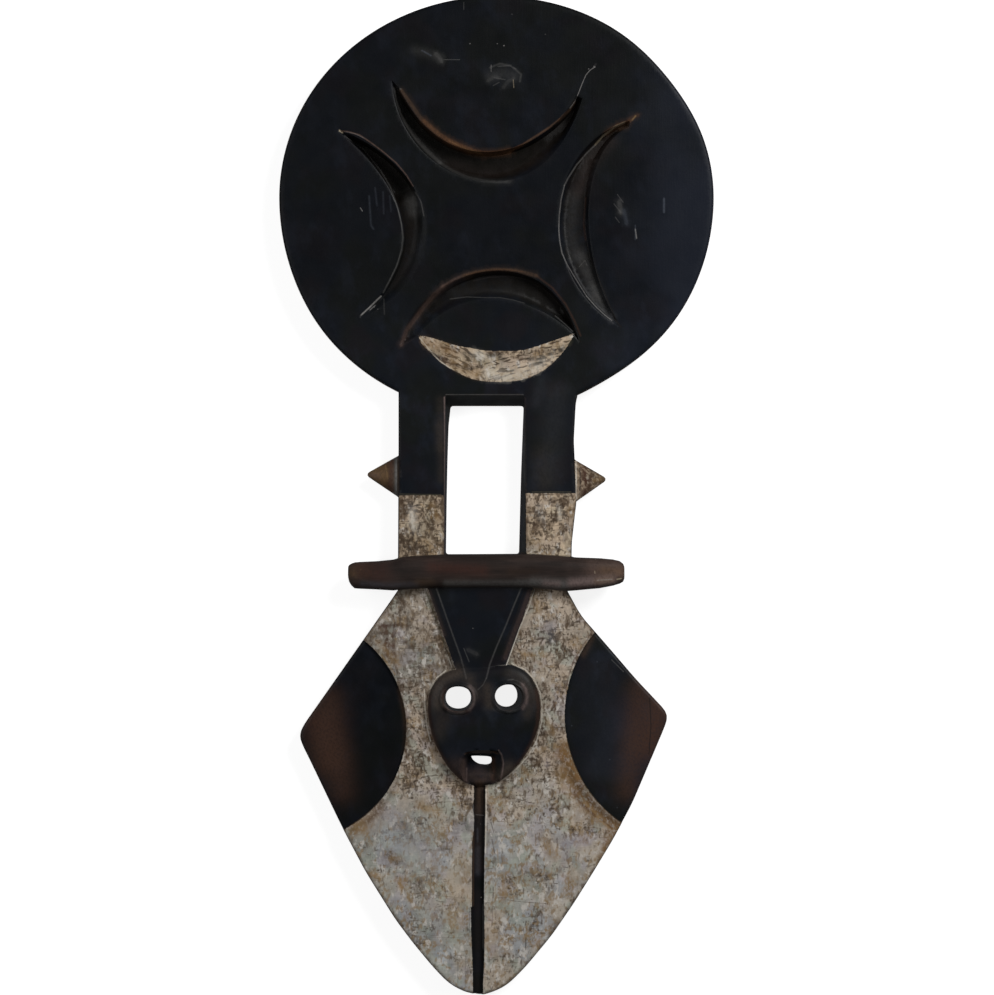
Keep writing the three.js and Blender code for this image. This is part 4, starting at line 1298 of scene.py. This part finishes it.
def meshPoints(rims, lines, grids, wornRings, gapShare=0.6):
    # rings of points along every rim, then loose points wherever there is room
    fixed = [line for line, _ in lines] + rims
    rings = []
    for i, rim in enumerate(rims):
        sign = 1 if i == 0 else -1
        for distance in wornRings:
            moved = offsetPoints(turned(rim), sign * distance, rims)
            rings.append(clearPoints(moved, np.vstack(fixed), 0.5 * min(distance, 2.0)))
    fixed = np.vstack(fixed + rings)
    loose = []
    for outline, gap, without, seed in grids:
        points = hexGrid(outline, gap, seed)
        for other in without:
            points = points[~inside(points, other)]
        points = clearPoints(points, fixed, gapShare * gap)
        loose.append(points)
        fixed = np.vstack([fixed, points])
    return np.vstack(rings + loose)


def surface(rims, points, lines):
    def keep(centres):
        good = inside(centres, rims[0])
        for hole in rims[1:]:
            good &= ~inside(centres, hole)
        return good

    return triangulate(points, [(rim, True) for rim in rims] + lines, keep)


def box(low, high):
    return np.array([(low[0], low[1]), (high[0], low[1]), (high[0], high[1]), (low[0], high[1])], float)


print("meshing the front")
carved = carvedLines()
eyesAndMouth = box((-100, -450), (65, -262))
faceZone = outlines["face"]
frontGrids = [
    (eyesAndMouth, plate["faceGap"], [], 11),
    (faceZone, plate["faceGap"], [eyesAndMouth], 12),
    (box((-330, -760), (330, -20)), plate["gap"], [faceZone], 13),
    (box((-330, -20), (330, 190)), legs["gap"], [], 14),
    (box((-330, 190), (330, 760)), disc["gap"], [], 15),
]
frontPoints, frontFaces = surface(
    [around] + frontHoles,
    meshPoints([around] + frontHoles, carved, frontGrids, (0.5, 1.5, 3.0, 5.0)), carved)
print("front:", len(frontPoints), "points,", len(frontFaces), "triangles")

backRings = [(ring(back["hollow"], np.array(back["half"]) * share, 90), True) for share in (1, 0.94, 0.85)]
backGrids = [(box((-330, -760), (330, 760)), back["gap"], [], 16)]
backPoints, backFaces = surface(
    [around] + backHoles,
    meshPoints([around] + backHoles, backRings, backGrids, (1.0, 3.5)), backRings)
print("back:", len(backPoints), "points,", len(backFaces), "triangles")

# The mask as one closed mesh: its front, its back, and the sides between their rims.

sides = {
    "rows": 8,  # steps from the front rim to the back rim
    "hewn": 0.7,  # how far the cuts on the sides wander in from the outline
    "cutWidth": 14,
    "bareLow": 0.85, "bareHigh": 0.25,  # how bare the wood is at the back and at the front
    "bareInHoles": 0.1,
}


def lengthShare(loop):
    # how far round a closed loop each of its points is, from 0 to 1
    size = np.hypot(*(np.roll(loop, -1, axis=0) - loop).T)
    return np.concatenate([[0], np.cumsum(size)])[:-1] / size.sum()


def startNear(loop, places, point):
    # a loop of points turned so that it starts at the one nearest to a point
    first = np.argmin(np.hypot(*(places[loop] - point).T))
    return np.roll(loop, -first)


def zipped(upper, upperShare, lower, lowerShare):
    # triangles between two loops, taken round both together
    faces = []
    i = j = 0
    n, m = len(upper), len(lower)
    while i < n or j < m:
        nextUpper = upperShare[i + 1] if i + 1 < n else 1.0
        nextLower = lowerShare[j + 1] if j + 1 < m else 1.0
        a, c = upper[i % n], lower[j % m]
        if j >= m or (i < n and nextUpper <= nextLower):
            faces.append((a, c, upper[(i + 1) % n]))
            i += 1
        else:
            faces.append((a, c, lower[(j + 1) % m]))
            j += 1
    return faces


def shapeMask():
    frontZ = frontHeight(frontPoints)
    backZ = backHeight(backPoints)
    corners = [np.column_stack([frontPoints, frontZ]), np.column_stack([backPoints, backZ])]
    faces = [frontFaces, backFaces[:, ::-1] + len(frontPoints)]
    total = len(frontPoints) + len(backPoints)
    backLoops = rimLoops(backFaces)
    print("rims:", [len(loop) for loop in rimLoops(frontFaces)], [len(loop) for loop in backLoops])
    for upper in rimLoops(frontFaces):
        centre = frontPoints[upper].mean(0)
        lower = min(backLoops, key=lambda loop: math.dist(backPoints[loop].mean(0), centre)
                    + abs(np.ptp(backPoints[loop]) - np.ptp(frontPoints[upper])))
        lower = startNear(lower, backPoints, frontPoints[upper[0]])
        lowerPlace, lowerShare = backPoints[lower], lengthShare(backPoints[lower])
        upperPlace, upperShare = frontPoints[upper], lengthShare(frontPoints[upper])
        under = np.column_stack([
            np.interp(upperShare, np.append(lowerShare, 1), np.append(values, values[0]))
            for values in (lowerPlace[:, 0], lowerPlace[:, 1], backZ[lower])])
        runs = np.roll(upperPlace, -1, axis=0) - np.roll(upperPlace, 1, axis=0)
        inward = leftOf(runs)
        along = np.cumsum(np.hypot(*runs.T)) / 2
        rowAbove, shareAbove = upper, upperShare
        for step in range(1, sides["rows"]):
            down = step / sides["rows"]
            place = mix(upperPlace, under[:, :2], down)
            height = mix(frontZ[upper], under[:, 2], down)
            cut = lumps(np.column_stack([along, height * 0.6]), sides["cutWidth"], 21) * 0.5 + 0.5
            tall = np.clip((frontZ[upper] - under[:, 2]) / 30, 0, 1)
            reach = sides["hewn"] * cut * np.sin(np.pi * down) * tall
            place = place + inward * reach[:, None]
            corners.append(np.column_stack([place, height]))
            row = np.arange(total, total + len(upper))
            total += len(upper)
            faces.append(zipped(rowAbove, shareAbove, row, upperShare))
            rowAbove = row
        faces.append(zipped(rowAbove, upperShare, lower + len(frontPoints), lowerShare))
    corners = np.vstack(corners)
    low, high = np.array(cadLow) / mm, np.array(cadHigh) / mm
    return np.clip(corners, low, high), np.vstack(faces)


print("shaping the mask")
corners, triangles = shapeMask()
print("mask:", len(corners), "points,", len(triangles), "triangles")
mesh = bpy.data.meshes.new("beduMask")
mesh.from_pydata((corners * mm).tolist(), [], triangles.tolist())
mesh.validate()
mesh.shade_smooth()
mesh.set_sharp_from_angle(angle=math.radians(42))
mask = bpy.data.objects.new("beduMask", mesh)
bpy.context.collection.objects.link(mask)
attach(mask, "root")
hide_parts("mask")


# Values that the mesh carries at its points, for the paint.

def carry(name, values):
    mesh.attributes.new(name, "FLOAT", "POINT").data.foreach_set("value", values.astype(np.float32))


def carryPaint():
    front = len(frontPoints)
    flat = corners[:, :2]
    white = np.full(len(corners), -12.0)
    wood = np.zeros(len(corners))
    raw = np.ones(len(corners))
    hollow = np.zeros(len(corners))
    edge = np.full(len(corners), 12.0)
    onSide = np.arange(len(corners)) >= front + len(backPoints)
    inHoles = np.any([depthIn(flat, outline, within=14) > -2.5 for outline in frontHoles], axis=0)
    onBarSide = onSide & (depthIn(flat, outlines["bar"], within=14) > -1.5)
    heightShare = np.clip(corners[onSide, 2] / disc["face"], 0, 1)
    raw[:front] = 0
    raw[onSide] = mix(sides["bareLow"], sides["bareHigh"], heightShare)  # the paint laps down them
    raw[onBarSide] *= 0.5
    raw[onSide & inHoles] = sides["bareInHoles"]
    wood[onBarSide] = 1
    inWhite, onBar = whiteIn(frontPoints)
    white[:front] = np.clip(inWhite, -12, 12)
    wood[:front] = np.clip(onBar / 0.8 + 0.5, 0, 1)
    hollow[:front] = np.sum([hollowDrop(frontPoints, one) for one in crescents.values()], axis=0) / 20
    rims = [around] + frontHoles
    edge[:front] = np.min([nearest(frontPoints, rim, closed=True, within=12)[0] for rim in rims], axis=0)
    carry("white", white)
    carry("barWood", wood)
    carry("rawWood", raw)
    carry("hollow", hollow)
    carry("edge", np.clip(edge, 0, 12))
    colours = np.zeros((len(corners), 4))
    colours[:front] = markColours(frontPoints, inWhite)
    layer = mesh.attributes.new("marks", "FLOAT_COLOR", "POINT")
    layer.data.foreach_set("color", colours.astype(np.float32).ravel())


print("painting")
carryPaint()

# The finish: black and white paint on wood, with the wood bare on the bar and where it is worn.

finish = {
    "gloss": 0.07, "soot": (0.0010, 0.0012, 0.0016),
    "blackBlue": (0.0048, 0.0061, 0.0088), "blackGreen": (0.0053, 0.0062, 0.0062),
    "blackPlum": (0.0068, 0.0060, 0.0078), "blackWornAndSheen": (0.0150, 0.0185, 0.0290), "blackRough": 0.42,
    "whiteWarm": (0.315, 0.258, 0.202), "whiteCool": (0.258, 0.258, 0.232), "whiteRough": 0.85,
    "lilac": (0.285, 0.255, 0.262), "green": (0.235, 0.250, 0.210), "haze": (0.235, 0.250, 0.275),
    "chalk": (0.46, 0.43, 0.39), "slate": (0.150, 0.155, 0.165), "whiteLegs": (0.375, 0.285, 0.190),
    "stain": (0.195, 0.132, 0.068), "dirt": (0.082, 0.056, 0.036), "under": (0.044, 0.030, 0.020),
    "woodDark": (0.0145, 0.0105, 0.0092), "woodLight": (0.0275, 0.0190, 0.0162), "woodRough": 0.55,
    "floorDark": (0.0026, 0.0019, 0.0011), "floorLight": (0.0044, 0.0034, 0.0026),
    "backDark": (0.030, 0.020, 0.014), "backLight": (0.085, 0.056, 0.036),
}

paintedWood = bpy.data.materials.new("paintedWood")
paintedWood.use_nodes = True
tree = paintedWood.node_tree
shader = tree.nodes["Principled BSDF"]
shader.inputs["Specular IOR Level"].default_value = finish["gloss"]


def add(kind, **settings):
    node = tree.nodes.new(kind)
    for name, value in settings.items():
        setattr(node, name, value)
    return node


def feed(socket, value):
    if isinstance(value, bpy.types.NodeSocket):
        tree.links.new(value, socket)
    elif isinstance(value, tuple) and len(value) == 3 and socket.type == "RGBA":
        socket.default_value = (*value, 1)
    else:
        socket.default_value = value


def calc(operation, a, b=0.0, clamp=False):
    node = add("ShaderNodeMath", operation=operation, use_clamp=clamp)
    feed(node.inputs[0], a)
    feed(node.inputs[1], b)
    return node.outputs[0]


def plus(a, b):
    return calc("ADD", a, b)


def times(a, b):
    return calc("MULTIPLY", a, b)


def ramp(value, low, high, start=0.0, end=1.0):
    node = add("ShaderNodeMapRange", interpolation_type="SMOOTHSTEP")
    for socket, given in zip(node.inputs, (value, low, high, start, end)):
        feed(socket, given)
    return node.outputs[0]


def blend(share, a, b, kind="MIX"):
    node = add("ShaderNodeMix", data_type="RGBA", blend_type=kind)
    feed(node.inputs["Factor"], share)
    feed(node.inputs[6], a)
    feed(node.inputs[7], b)
    return node.outputs[2]


def carried(name, output="Fac"):
    return add("ShaderNodeAttribute", attribute_name=name).outputs[output]


place = add("ShaderNodeTexCoord").outputs["Object"]


def noise(size, stretch=(1, 1, 1), turn=0.0, shift=0.0, detail=2.0, rough=0.5):
    # soft noise with lumps about size mm across, stretched along the turned axes
    spread = add("ShaderNodeMapping", vector_type="TEXTURE")
    feed(spread.inputs["Vector"], place)
    spread.inputs["Location"].default_value = (shift, shift * 0.7, 0)
    spread.inputs["Rotation"].default_value = (0, 0, math.radians(turn))
    spread.inputs["Scale"].default_value = [size * mm * s for s in stretch]
    node = add("ShaderNodeTexNoise")
    feed(node.inputs["Vector"], spread.outputs["Vector"])
    node.inputs["Scale"].default_value = 1.0
    node.inputs["Detail"].default_value = detail
    node.inputs["Roughness"].default_value = rough
    return node.outputs["Fac"]


def flecked(colour, tint, amount, size, stretch=(1, 1, 1), turn=0.0, shift=0.0, most=0.85):
    # small spots and strokes of a tint over a colour, more of them where amount is over 0
    spots = plus(noise(size, stretch, turn, shift, detail=1, rough=0.5), amount)
    return blend(ramp(spots, 0.575, 0.71, 0, most), colour, finish[tint])


def grey(value):
    # the same value in red, green and blue
    made = add("ShaderNodeCombineColor")
    for socket in made.inputs[:3]:
        feed(socket, value)
    return made.outputs[0]


def wander(size, shift, reach, detail=3, rough=0.5):
    # noise that moves a border by up to half its reach each way
    return times(plus(noise(size, shift=shift, detail=detail, rough=rough), -0.5), reach)


whiteZones = {  # in metres along X or Y: where each part of the white begins, and where it is full
    "low": (-0.38, -0.56), "legs": (-0.16, -0.10), "crescent": (0.10, 0.16),
    "upper": (-0.31, -0.25), "left": (0.02, -0.08), "right": (0, 0.08), "besideGroove": (0.02, 0.09),
    "grooveX": -0.028,
}
whiteFlecks = [  # tint, size, stretch, turn, shift of the noise, and how many more of them
    ("dirt", 6.5, (1, 2.2, 1), 16, 9.0, 0),
    ("dirt", 5.5, (1, 2.4, 1), -10, 10.0, 0),
    ("under", 5.0, (2.4, 1, 1), 4, 10.5, 0),
    ("under", 4.4, (1, 1.8, 1), 0, 11.5, 0),
    ("under", 3.2, (1, 1.4, 1), 0, 15.5, -0.01),
]


def whiteGround(x, y, low, onLegs, upLeft, leftLeg):
    # the white before it is soiled: warm above, cooler below, cloudy and woven with fine strokes
    right = ramp(x, *whiteZones["right"])
    besideGroove = calc("ABSOLUTE", plus(x, -whiteZones["grooveX"]))
    cool = plus(times(low, 0.85), ramp(noise(90, shift=2.0), 0.42, 0.60, -0.1, 0.5))
    cool = plus(cool, ramp(besideGroove, *whiteZones["besideGroove"], -0.6, 0))
    cool = plus(cool, plus(times(right, -0.35), times(upLeft, 0.25)))
    colour = blend(calc("MINIMUM", cool, 1.0, clamp=True), finish["whiteWarm"], finish["whiteCool"])
    haze = times(ramp(noise(60, (1, 1.5, 1), shift=5.0), 0.50, 0.62, 0, 0.6), low)
    colour = blend(haze, colour, finish["haze"])
    colour = blend(ramp(noise(40, shift=2.6), 0.52, 0.62, 0, 0.5), colour, finish["lilac"])
    colour = blend(ramp(noise(36, shift=3.4), 0.52, 0.62, 0, 0.6), colour, finish["green"])
    colour = blend(times(onLegs, 0.6), colour, finish["whiteLegs"])
    cloud = noise(26, shift=0.3, detail=3)
    fine = noise(8, (1, 1.4, 1), 8, shift=0.9, detail=3, rough=0.6)
    grain = noise(3.2, (1, 2.4, 1), -4, shift=1.4, detail=2)
    weave = noise(2.6, (5, 1, 1), 3, shift=1.9, detail=2)
    texture = plus(plus(fine, -1.25), plus(times(grain, 0.9), times(weave, 0.6)))
    contrast = plus(ramp(low, 0, 1, 0.62, 0.55), times(upLeft, -0.22))
    light = plus(plus(cloud, 0.53), times(texture, contrast))
    light = plus(light, plus(times(upLeft, -0.15), times(leftLeg, -0.10)))
    light = plus(light, times(low, plus(times(right, 0.04), 0.02)))
    return blend(1.0, colour, grey(light), "MULTIPLY")


def whitePaint():
    spot = add("ShaderNodeSeparateXYZ")
    feed(spot.inputs[0], place)
    x, y = spot.outputs["X"], spot.outputs["Y"]
    low, onLegs, crescent, upper = [ramp(y, *whiteZones[zone])
                                    for zone in ("low", "legs", "crescent", "upper")]
    left = ramp(x, *whiteZones["left"])
    leftLeg = times(onLegs, left)
    upLeft = times(times(upper, ramp(onLegs, 0, 1, 1, 0)), left)
    colour = whiteGround(x, y, low, onLegs, upLeft, leftLeg)

    worn = ramp(low, 0, 1, 0.020, -0.058)  # the legs and the upper plate are soiled the most
    for zone, more in ((upLeft, 0.022), (leftLeg, 0.034), (onLegs, -0.014), (crescent, -0.04)):
        worn = plus(worn, times(zone, more))
    stained = plus(noise(40, shift=4.0, detail=4, rough=0.6), plus(times(worn, 0.3), times(low, 0.035)))
    spotty = ramp(noise(5, (1, 1.8, 1), shift=4.5, detail=3, rough=0.65), 0.42, 0.60, 0.2, 1)
    colour = blend(times(ramp(stained, 0.52, 0.64, 0, 0.9), spotty), colour, finish["stain"])
    colour = blend(ramp(noise(38, shift=5.5, detail=3), 0.60, 0.74, 0, 0.35), colour, finish["slate"])
    flakes = ramp(noise(11, (1, 1.5, 1), 12, shift=7.0, detail=3, rough=0.6), 0.55, 0.66, 0, 0.75)
    colour = blend(flakes, colour, finish["chalk"])

    patchy = plus(times(plus(noise(36, shift=8.0, detail=3), -0.5), ramp(low, 0, 1, 0.35, 0.60)), worn)
    amounts = {"dirt": patchy, "under": plus(patchy, ramp(low, 0, 1, -0.02, -0.022))}
    most = plus(ramp(low, 0, 1, 0.75, 0.6), times(upLeft, -0.22))
    colour = flecked(colour, "dirt", plus(patchy, -0.02), 13, (1, 1.4, 1), 14, 12.0, 0.5)
    for tint, size, stretch, turn, shift, more in whiteFlecks:
        colour = flecked(colour, tint, plus(amounts[tint], more), size, stretch, turn, shift, most)
    colour = flecked(colour, "stain", ramp(low, 0, 1, -0.1, 0.025), 6.0, (1, 1.6, 1), -8, 12.5, 0.65)
    # the crescent has strokes that fall to the middle from both sides
    strokes = plus(ramp(crescent, 0, 1, -0.5, 0.04), wander(30, 14.5, 0.3, detail=2))
    toLeft, toRight = ramp(x, -0.02, 0.03, 0, -0.3), ramp(x, -0.05, 0.0, -0.3, 0)
    colour = flecked(colour, "under", plus(strokes, toLeft), 3.6, (4, 1, 1), -26, 14.0)
    colour = flecked(colour, "under", plus(strokes, toRight), 3.6, (4, 1, 1), 14, 15.0)
    scratch = noise(1.8, (14, 1, 1), 2, shift=13.5, detail=1)
    colour = blend(ramp(plus(scratch, times(patchy, 0.5)), 0.64, 0.74, 0, 0.6), colour, finish["dirt"])
    # near the outline and the holes the white darkens: partly dirt, partly painted shade where the worn edges
    # round away
    dirtAndShadeAtRims = plus(carried("edge"), wander(10, 13.0, 16))
    return blend(ramp(dirtAndShadeAtRims, 0.5, 6.0, 0.7, 0), colour, finish["dirt"])


def blackPaint():
    colour = blend(ramp(noise(85, shift=1.0), 0.42, 0.60), finish["blackBlue"], finish["blackGreen"])
    colour = blend(ramp(noise(60, shift=6.0), 0.52, 0.66, 0, 0.7), colour, finish["blackPlum"])
    spot = add("ShaderNodeSeparateXYZ")
    feed(spot.inputs[0], place)
    # Towards the right the black turns paler and bluer: a painted sheen. The same colour also lies in random
    # paler patches.
    right = plus(spot.outputs["X"], wander(120, 5.0, 0.35))
    colour = blend(ramp(right, 0.16, 0.34, 0, 0.9), colour, finish["blackWornAndSheen"])
    patches = noise(34, (1, 1.6, 1), 10, shift=3.0, detail=4, rough=0.6)
    colour = blend(ramp(patches, 0.48, 0.72, 0.0, 0.35), colour, finish["blackWornAndSheen"])
    onDisc = ramp(spot.outputs["Y"], 0.22, 0.34, 0, 0.45)
    onLeftLobe = times(ramp(spot.outputs["X"], -0.10, -0.14), ramp(spot.outputs["Y"], -0.1, -0.2, 0, 0.5))
    return blend(plus(onDisc, onLeftLobe), colour, finish["soot"])  # these two are the blackest


def woodAlong(axis, dark, light, shift, patches=20, spread=0.14):
    long = (14, 1, 1) if axis == "x" else (1, 14, 1)
    grain = noise(2.6, long, 0, shift, detail=3, rough=0.6)
    broad = noise(patches, (3, 1, 1) if axis == "x" else (1, 3, 1), 0, shift + 1, detail=3)
    both = plus(times(grain, 0.35), times(broad, 0.65))
    return blend(ramp(both, 0.5 - spread, 0.5 + spread), dark, light), grain


def makePaintedWood():
    isWhite = ramp(plus(carried("white"), wander(5.0, 14.0, 3.2, detail=4, rough=0.65)), -0.35, 0.35)
    black = blackPaint()
    bare, bareGrain = woodAlong("y", finish["woodDark"], finish["woodLight"], 20.0)
    floorPatches = ramp(noise(16, shift=29.0, detail=3), 0.40, 0.60)
    floorWood = blend(floorPatches, finish["floorDark"], finish["floorLight"])
    hollowShare = ramp(plus(carried("hollow"), wander(12, 16.0, 0.9)), 0.1, 0.8)
    dark = blend(times(hollowShare, 0.9), black, floorWood)
    rubbed = plus(carried("edge"), wander(9, 17.0, 9))
    dark = blend(ramp(rubbed, 0.0, 2.6, 0.45, 0), dark, bare)
    colour = blend(isWhite, dark, whitePaint())
    barColour, barGrain = woodAlong("x", finish["woodDark"], finish["woodLight"], 23.0)
    colour = blend(carried("barWood"), colour, barColour)
    backColour, _ = woodAlong("y", finish["backDark"], finish["backLight"], 26.0, 70, 0.22)
    cuts = noise(22, (1, 2, 1), shift=27.0, detail=2)  # soil in the adze cuts
    backColour = blend(ramp(cuts, 0.45, 0.70, 0, 0.45), backColour, finish["backDark"])
    lap = ramp(plus(carried("rawWood"), wander(26, 18.0, 0.9, detail=5, rough=0.6)), 0.50, 0.72)
    colour = blend(lap, colour, backColour)
    softBreak = ramp(noise(3, (1, 1.5, 1), 20, shift=19.0, detail=3, rough=0.6), 0.30, 0.60, 0.65, 1.0)
    broken = ramp(noise(5, (1, 1.6, 1), 20, shift=19.5, detail=3, rough=0.65), 0.38, 0.55, 0.5, 1.0)
    broken = ramp(isWhite, 0, 1, softBreak, broken)
    kept = calc("SUBTRACT", 1.0, times(carried("marks", "Alpha"), broken))
    colour = blend(1.0, colour, grey(kept), "MULTIPLY")
    markColour = blend(1.0, carried("marks", "Color"), grey(broken), "MULTIPLY")
    colour = blend(1.0, colour, markColour, "ADD")
    feed(shader.inputs["Base Color"], colour)
    rough = plus(finish["blackRough"], wander(30, 15.0, 0.35))
    rough = ramp(isWhite, 0, 1, rough, finish["whiteRough"])
    rough = ramp(carried("barWood"), 0, 1, rough, finish["woodRough"])
    feed(shader.inputs["Roughness"], ramp(lap, 0, 1, rough, 0.8))
    relief = plus(times(isWhite, 0.35), times(bareGrain, 0.5))
    relief = plus(relief, times(noise(4.0, shift=21.0, detail=4, rough=0.6), 0.6))
    relief = plus(relief, times(times(barGrain, carried("barWood")), 0.6))
    bump = add("ShaderNodeBump")
    bump.inputs["Strength"].default_value = 0.35
    bump.inputs["Distance"].default_value = 0.0009
    feed(bump.inputs["Height"], relief)
    feed(shader.inputs["Normal"], bump.outputs["Normal"])


makePaintedWood()
mesh.materials.append(paintedWood)


# The pale floor, the lights and the camera.

softBoxes = {  # metres and watts, both aimed at the middle of the mask
    "key": {"size": 1.6, "power": 150, "stand": (2.2, 1.9, 2.6)},
    "fill": {"size": 3.0, "power": 60, "stand": (-2.6, 0.4, 2.6)},
}
paperFloor = {"half": 14, "colour": (0.30, 0.30, 0.30, 1), "glow": 0.85}


def hangSoftBox(name, softBox):
    light = bpy.data.lights.new(name, "AREA")
    light.size = softBox["size"]
    light.energy = softBox["power"]
    lamp = bpy.data.objects.new(name, light)
    lamp.location = softBox["stand"]
    lamp.rotation_mode = "QUATERNION"
    lamp.rotation_quaternion = (-Vector(softBox["stand"])).to_track_quat("-Z", "Y")
    bpy.context.collection.objects.link(lamp)


def layFloor():
    floorMesh = bpy.data.meshes.new("floor")
    half = paperFloor["half"]
    floorMesh.from_pydata([(-half, -half, 0), (half, -half, 0), (half, half, 0), (-half, half, 0)], [],
                          [(0, 1, 2, 3)])
    floor = bpy.data.objects.new("floor", floorMesh)
    bpy.context.collection.objects.link(floor)
    paper = bpy.data.materials.new("palePaper")
    paper.use_nodes = True
    inputs = paper.node_tree.nodes["Principled BSDF"].inputs
    inputs["Base Color"].default_value = paperFloor["colour"]
    inputs["Roughness"].default_value = 0.9
    inputs["Specular IOR Level"].default_value = 0.1
    inputs["Emission Color"].default_value = (1, 1, 1, 1)
    inputs["Emission Strength"].default_value = paperFloor["glow"]
    floorMesh.materials.append(paper)
    floor.visible_glossy = False  # so that the dark sides don't mirror its glow


print("lighting")
layFloor()
for name, softBox in softBoxes.items():
    hangSoftBox(name, softBox)

studio = bpy.data.worlds.new("studio")
studio.use_nodes = True
studio.node_tree.nodes["Background"].inputs["Color"].default_value = (1, 1, 1, 1)
studio.node_tree.nodes["Background"].inputs["Strength"].default_value = 0.12
bpy.context.scene.world = studio
bpy.context.scene.view_settings.view_transform = "Standard"

photo = {
    "width": 994,  # pixels
    "acrossAtFace": 1.491,  # metres across the picture, at the height of the mask's face
    "faceHeight": 0.042,
    "distance": 4.5,
    "centre": (0.00075, -0.00225),
    "sensor": 36,
}
cameraData = bpy.data.cameras.new("camera")
cameraData.sensor_width = photo["sensor"]
cameraData.sensor_fit = "HORIZONTAL"
cameraData.lens = photo["sensor"] * photo["distance"] / photo["acrossAtFace"]
camera = bpy.data.objects.new("camera", cameraData)
camera.location = (*photo["centre"], photo["faceHeight"] + photo["distance"])
bpy.context.collection.objects.link(camera)
bpy.context.scene.camera = camera
